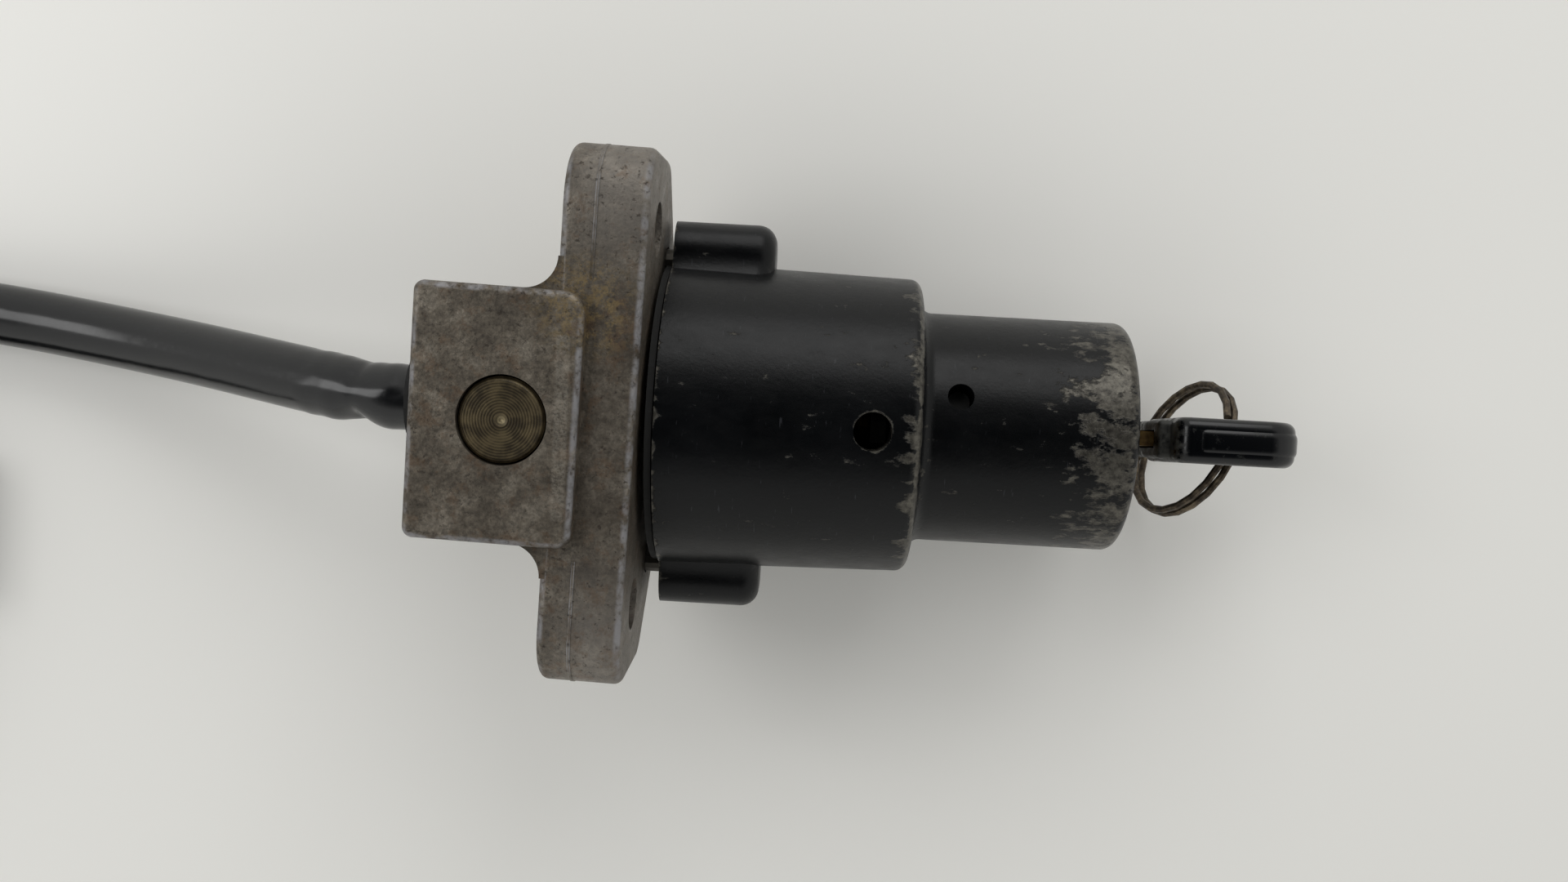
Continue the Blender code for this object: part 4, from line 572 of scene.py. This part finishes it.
# The lock bolt's end: a steel bar turned on a lathe and tarnished olive-brown. The tool's rings run round a
# bright centre, drawn 0.42 mm apart so that they show.
RING_SPACING = 0.42 * MM
bolt, tree, shader, place = substance("turned_steel_tarnished")
centre = spot(LOCK_BOLT_X, 0, 0)
radius = add(tree, "ShaderNodeVectorMath", {0: place, 1: (1.0, 1.0, 0.0)}, operation="MULTIPLY")
radius = add(tree, "ShaderNodeVectorMath", {0: radius, 1: (centre.x, centre.y, 0.0)}, operation="DISTANCE")
radius = radius.node.outputs["Value"]
wobble = add(tree, "ShaderNodeTexNoise", {"Vector": place, "Scale": 1 / (2 * MM), "Detail": 5.0})
lathe = add(tree, "ShaderNodeMath", {0: radius, 1: 2 * pi / RING_SPACING}, operation="MULTIPLY")
lathe = add(tree, "ShaderNodeMath", {0: lathe}, operation="SINE")
tone = add(tree, "ShaderNodeMath", {0: lathe, 1: 0.11}, operation="MULTIPLY")
tone = add(tree, "ShaderNodeMath", {0: tone, 1: wobble}, operation="ADD")
colour = add(tree, "ShaderNodeValToRGB", {"Fac": tone}, stops=((0.35, "#352e22"), (0.68, "#665a42")))
pip = add(tree, "ShaderNodeMapRange", {"Value": radius, "From Min": 0.9 * MM, "From Max": 0.3 * MM,
                                       "To Max": 0.4})
colour = add(tree, "ShaderNodeMixRGB", {"Fac": pip, "Color1": colour, "Color2": linear("#a99c7c")})
tree.links.new(colour, shader.inputs["Base Color"])
shader.inputs["Metallic"].default_value = 0.7
shader.inputs["Roughness"].default_value = 0.42
bump = add(tree, "ShaderNodeBump", {"Height": lathe, "Distance": 0.015 * MM, "Strength": 0.6})
tree.links.new(bump, shader.inputs["Normal"])
frame["nodes"]["lock_bolt"].material_slots[0].material = bolt

# The key's blade, the plug, the wafers and the contacts: brass, stamped or turned, and handled until dull, in
# clouds of some 2.5 mm.
brass, tree, shader, place = substance("brass_handled")
tarnish = add(tree, "ShaderNodeTexNoise", {"Vector": place, "Scale": 1 / (2.5 * MM), "Detail": 6.0})
colour = add(tree, "ShaderNodeValToRGB", {"Fac": tarnish}, stops=((0.38, "#54402a"), (0.62, "#93794a")))
tree.links.new(colour, shader.inputs["Base Color"])
shader.inputs["Metallic"].default_value = 0.9
shader.inputs["Roughness"].default_value = 0.38
finishes = {"brass": brass}

# The plain pieces inside and behind: greased zinc castings and oiled drawn steel, kept dark as painted shade
# down the barrel's holes, a moulded phenolic base and rubber, each of one colour with a faint grain of 1.5 mm.
for slot_name, title, shade, rough_at, metal_at in (
        ("zinc", "zinc_cast_greased_painted_shade", "#4b4946", 0.5, 0.8), ("steel", "steel_drawn_oiled_painted_shade", "#45423d", 0.4, 0.9),
        ("phenolic", "phenolic_moulded", "#553822", 0.6, 0.0),
        ("rubber", "rubber_moulded", "#131312", 0.8, 0.0)):
    made, tree, shader, place = substance(title)
    grain = add(tree, "ShaderNodeTexNoise", {"Vector": place, "Scale": 1 / (1.5 * MM), "Detail": 5.0})
    tone = add(tree, "ShaderNodeMapRange", {"Value": grain, "From Min": 0.3, "From Max": 0.7,
                                            "To Min": 0.75, "To Max": 1.1})
    colour = add(tree, "ShaderNodeVectorMath", {0: linear(shade)[:3], "Scale": tone}, operation="SCALE")
    tree.links.new(colour, shader.inputs["Base Color"])
    shader.inputs["Roughness"].default_value = rough_at
    shader.inputs["Metallic"].default_value = metal_at
    finishes[slot_name] = made

# The split ring through the key's head: two turns of drawn steel wire, left bare, so that it has gone
# bronze-brown with rust in patches of some 1.8 mm.
wire, tree, shader, place = substance("steel_wire_rusted")
rust = add(tree, "ShaderNodeTexNoise", {"Vector": place, "Scale": 1 / (1.8 * MM), "Detail": 8.0,
                                        "Roughness": 0.7})
colour = add(tree, "ShaderNodeValToRGB", {"Fac": rust},
             stops=((0.36, "#2b251e"), (0.64, "#776b59"), (0.5, "#494035")))
tree.links.new(colour, shader.inputs["Base Color"])
shader.inputs["Metallic"].default_value = 0.75
rough = add(tree, "ShaderNodeMapRange", {"Value": rust, "To Min": 0.3, "To Max": 0.7})
tree.links.new(rough, shader.inputs["Roughness"])
finishes["ring"] = wire

# The key's head: glossy black plastic moulded over the blade, dusty at its neck. A round ridge runs along its
# rim, each side has a shallow panel, and the ring hangs in its hole. The key stands a little off upright.
KEY_TILT = radians(-5.6)
NECK_START = 82.4
HEAD_START = 84.4
HEAD_END = 104.6
HEAD_HALF = 11.5
HEAD_HALF_T = 3.7
NECK_HALF = 7
NECK_HALF_T = 3.1
PANEL_MARGIN = 2.6
RIDGE_UP = 0.3                   # how far the ridge stands out of the rim
RIDGE_HALF_T = 2.35
SOCKET = (88.7, 4.5, 1.5)        # its end, half height and half width
RING_HOLE_AT = (97.0, -1.0)
RING_HOLE_R = 3.6

plastic, tree, shader, place = substance("black_plastic_moulded")
dirt = add(tree, "ShaderNodeTexNoise", {"Vector": place, "Scale": 1 / (1.6 * MM), "Detail": 8.0,
                                        "Roughness": 0.7})
x_at = add(tree, "ShaderNodeSeparateXYZ", {0: place}).node.outputs["X"]
from_neck = add(tree, "ShaderNodeMath", {0: x_at, 1: spot(82.5, 0, 0).x}, operation="SUBTRACT")
from_neck = add(tree, "ShaderNodeMath", {0: from_neck}, operation="ABSOLUTE")
from_neck = add(tree, "ShaderNodeMapRange", {"Value": from_neck, "From Min": 4 * MM, "From Max": 1.8 * MM,
                                             "To Max": 0.20})
dirt = add(tree, "ShaderNodeMath", {0: dirt, 1: from_neck}, operation="ADD")
colour = add(tree, "ShaderNodeValToRGB", {"Fac": dirt}, stops=((0.60, "#040507"), (0.82, "#3e3e3a")))
tree.links.new(colour, shader.inputs["Base Color"])
rough = add(tree, "ShaderNodeMapRange", {"Value": dirt, "From Min": 0.56, "From Max": 0.8, "To Min": 0.20,
                                         "To Max": 0.7})
tree.links.new(rough, shader.inputs["Roughness"])
shader.inputs["Specular IOR Level"].default_value = 0.35
bump = add(tree, "ShaderNodeBump", {"Height": dirt, "Distance": 0.03 * MM, "Strength": 0.3})
tree.links.new(bump, shader.inputs["Normal"])
finishes["plastic"] = plastic


def rounded_slab(name, start, end, half_height, corners, low, high, *edge):
    """A slab of the key's head with two radii: of its corners beside the neck and of those at its end."""
    near_neck, at_end = corners
    outline = [(start, -half_height, near_neck), (end, -half_height, at_end), (end, half_height, at_end),
               (start, half_height, near_neck)]
    return prism(name, rounded(outline, 8 if not edge else 12), "Y", low, high, *edge)


head = piece("key_head_moulded", rounded_slab("head", HEAD_START, HEAD_END, HEAD_HALF, (2.6, 5.5),
                                              -HEAD_HALF_T, HEAD_HALF_T, 1.7, 6), None, None)
carve(head, rounded_slab("head_ridge", HEAD_START + 2.4, HEAD_END + RIDGE_UP, HEAD_HALF + RIDGE_UP, (2.4, 5.7),
                         -RIDGE_HALF_T, RIDGE_HALF_T, 1.4, 6), "UNION")
neck = [(NECK_START, -NECK_HALF), (89, -NECK_HALF), (89, NECK_HALF), (NECK_START, NECK_HALF)]
carve(head, prism("head_neck", neck, "Y", -NECK_HALF_T, NECK_HALF_T, 0.8, 4), "UNION")
for low, high in ((HEAD_HALF_T - 0.6, 8), (-8, 0.6 - HEAD_HALF_T)):
    carve(head, rounded_slab("head_panel", HEAD_START + PANEL_MARGIN, HEAD_END - PANEL_MARGIN,
                             HEAD_HALF - PANEL_MARGIN, (2.2, 3.7), low, high))
end, tall, wide = SOCKET
carve(head, prism("blade_socket", [(80, -tall), (end, -tall), (end, tall), (80, tall)], "Y", -wide, wide))
carve(head, prism("ring_hole", arc(RING_HOLE_AT, RING_HOLE_R, 0, 2 * pi, 48)[:-1], "Y", -9, 9))
head.data.transform(Matrix.Translation(AXIS_AT) @ Matrix.Rotation(KEY_TILT, 4, "X")
                    @ Matrix.Translation(-AXIS_AT))
dress(head, plastic)
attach(head, "key")
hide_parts("key_head")

# Every other piece shows its plain solid in the finish of its slot. The retaining pin, seen down its hole,
# takes the rubber's near black as painted shade.
slots = {entry["node"]: entry["material_slot"] for entry in frame["record"]["subparts"]}
for name, obj in frame["nodes"].items():
    if slots[name] in finishes:
        obj.material_slots[0].material = finishes[slots[name]]
frame["nodes"]["retaining_pin"].material_slots[0].material = finishes["rubber"]

# The table that the switch lies on: a board with a pale laminate pressed on it. It is smooth enough to show the
# window's light as a soft sheen.
bm = bmesh.new()
bmesh.ops.create_grid(bm, x_segments=1, y_segments=1, size=1.5)
mesh = bpy.data.meshes.new("table")
bm.to_mesh(mesh)
bm.free()
table = bpy.data.objects.new("table", mesh)
bpy.context.scene.collection.objects.link(table)
table.location.z = -0.05 * MM
laminate, tree, shader, place = substance("laminate_gloss")
shader.inputs["Base Color"].default_value = linear("#fbfaf6")
shader.inputs["Roughness"].default_value = 0.30
shader.inputs["Specular IOR Level"].default_value = 0.25
mesh.materials.append(laminate)

# The room: pale walls and a darker ceiling, with a broad window off to the flange's +Y side and a smaller lamp
# over the lead. Both are broad for their distance, so their light is soft.
world = bpy.data.worlds.new("room")
bpy.context.scene.world = world
world.use_nodes = True
tree = world.node_tree
toward = tree.nodes.new("ShaderNodeTexCoord").outputs["Generated"]
lift = add(tree, "ShaderNodeSeparateXYZ", {0: toward}).node.outputs["Z"]
sky = add(tree, "ShaderNodeValToRGB", {"Fac": lift},
          stops=((0.0, "#f4f4f0"), (1.0, "#1c1d1e"), (0.70, "#f0f0ee"), (0.88, "#4a4b4c")))
tree.links.new(sky, tree.nodes["Background"].inputs["Color"])
tree.nodes["Background"].inputs["Strength"].default_value = 0.92
for name, stands, size, power in (("window", (0.10, 0.80, 0.45), 0.6, 2.4),
                                  ("lamp", (-0.65, 0.15, 0.65), 0.4, 1.4)):
    lamp = bpy.data.lights.new(name, "AREA")
    lamp.size = size
    lamp.energy = power
    light = bpy.data.objects.new(name, lamp)
    bpy.context.scene.collection.objects.link(light)
    light.location = stands
    light.rotation_euler = (-Vector(stands)).to_track_quat("-Z", "Y").to_euler()
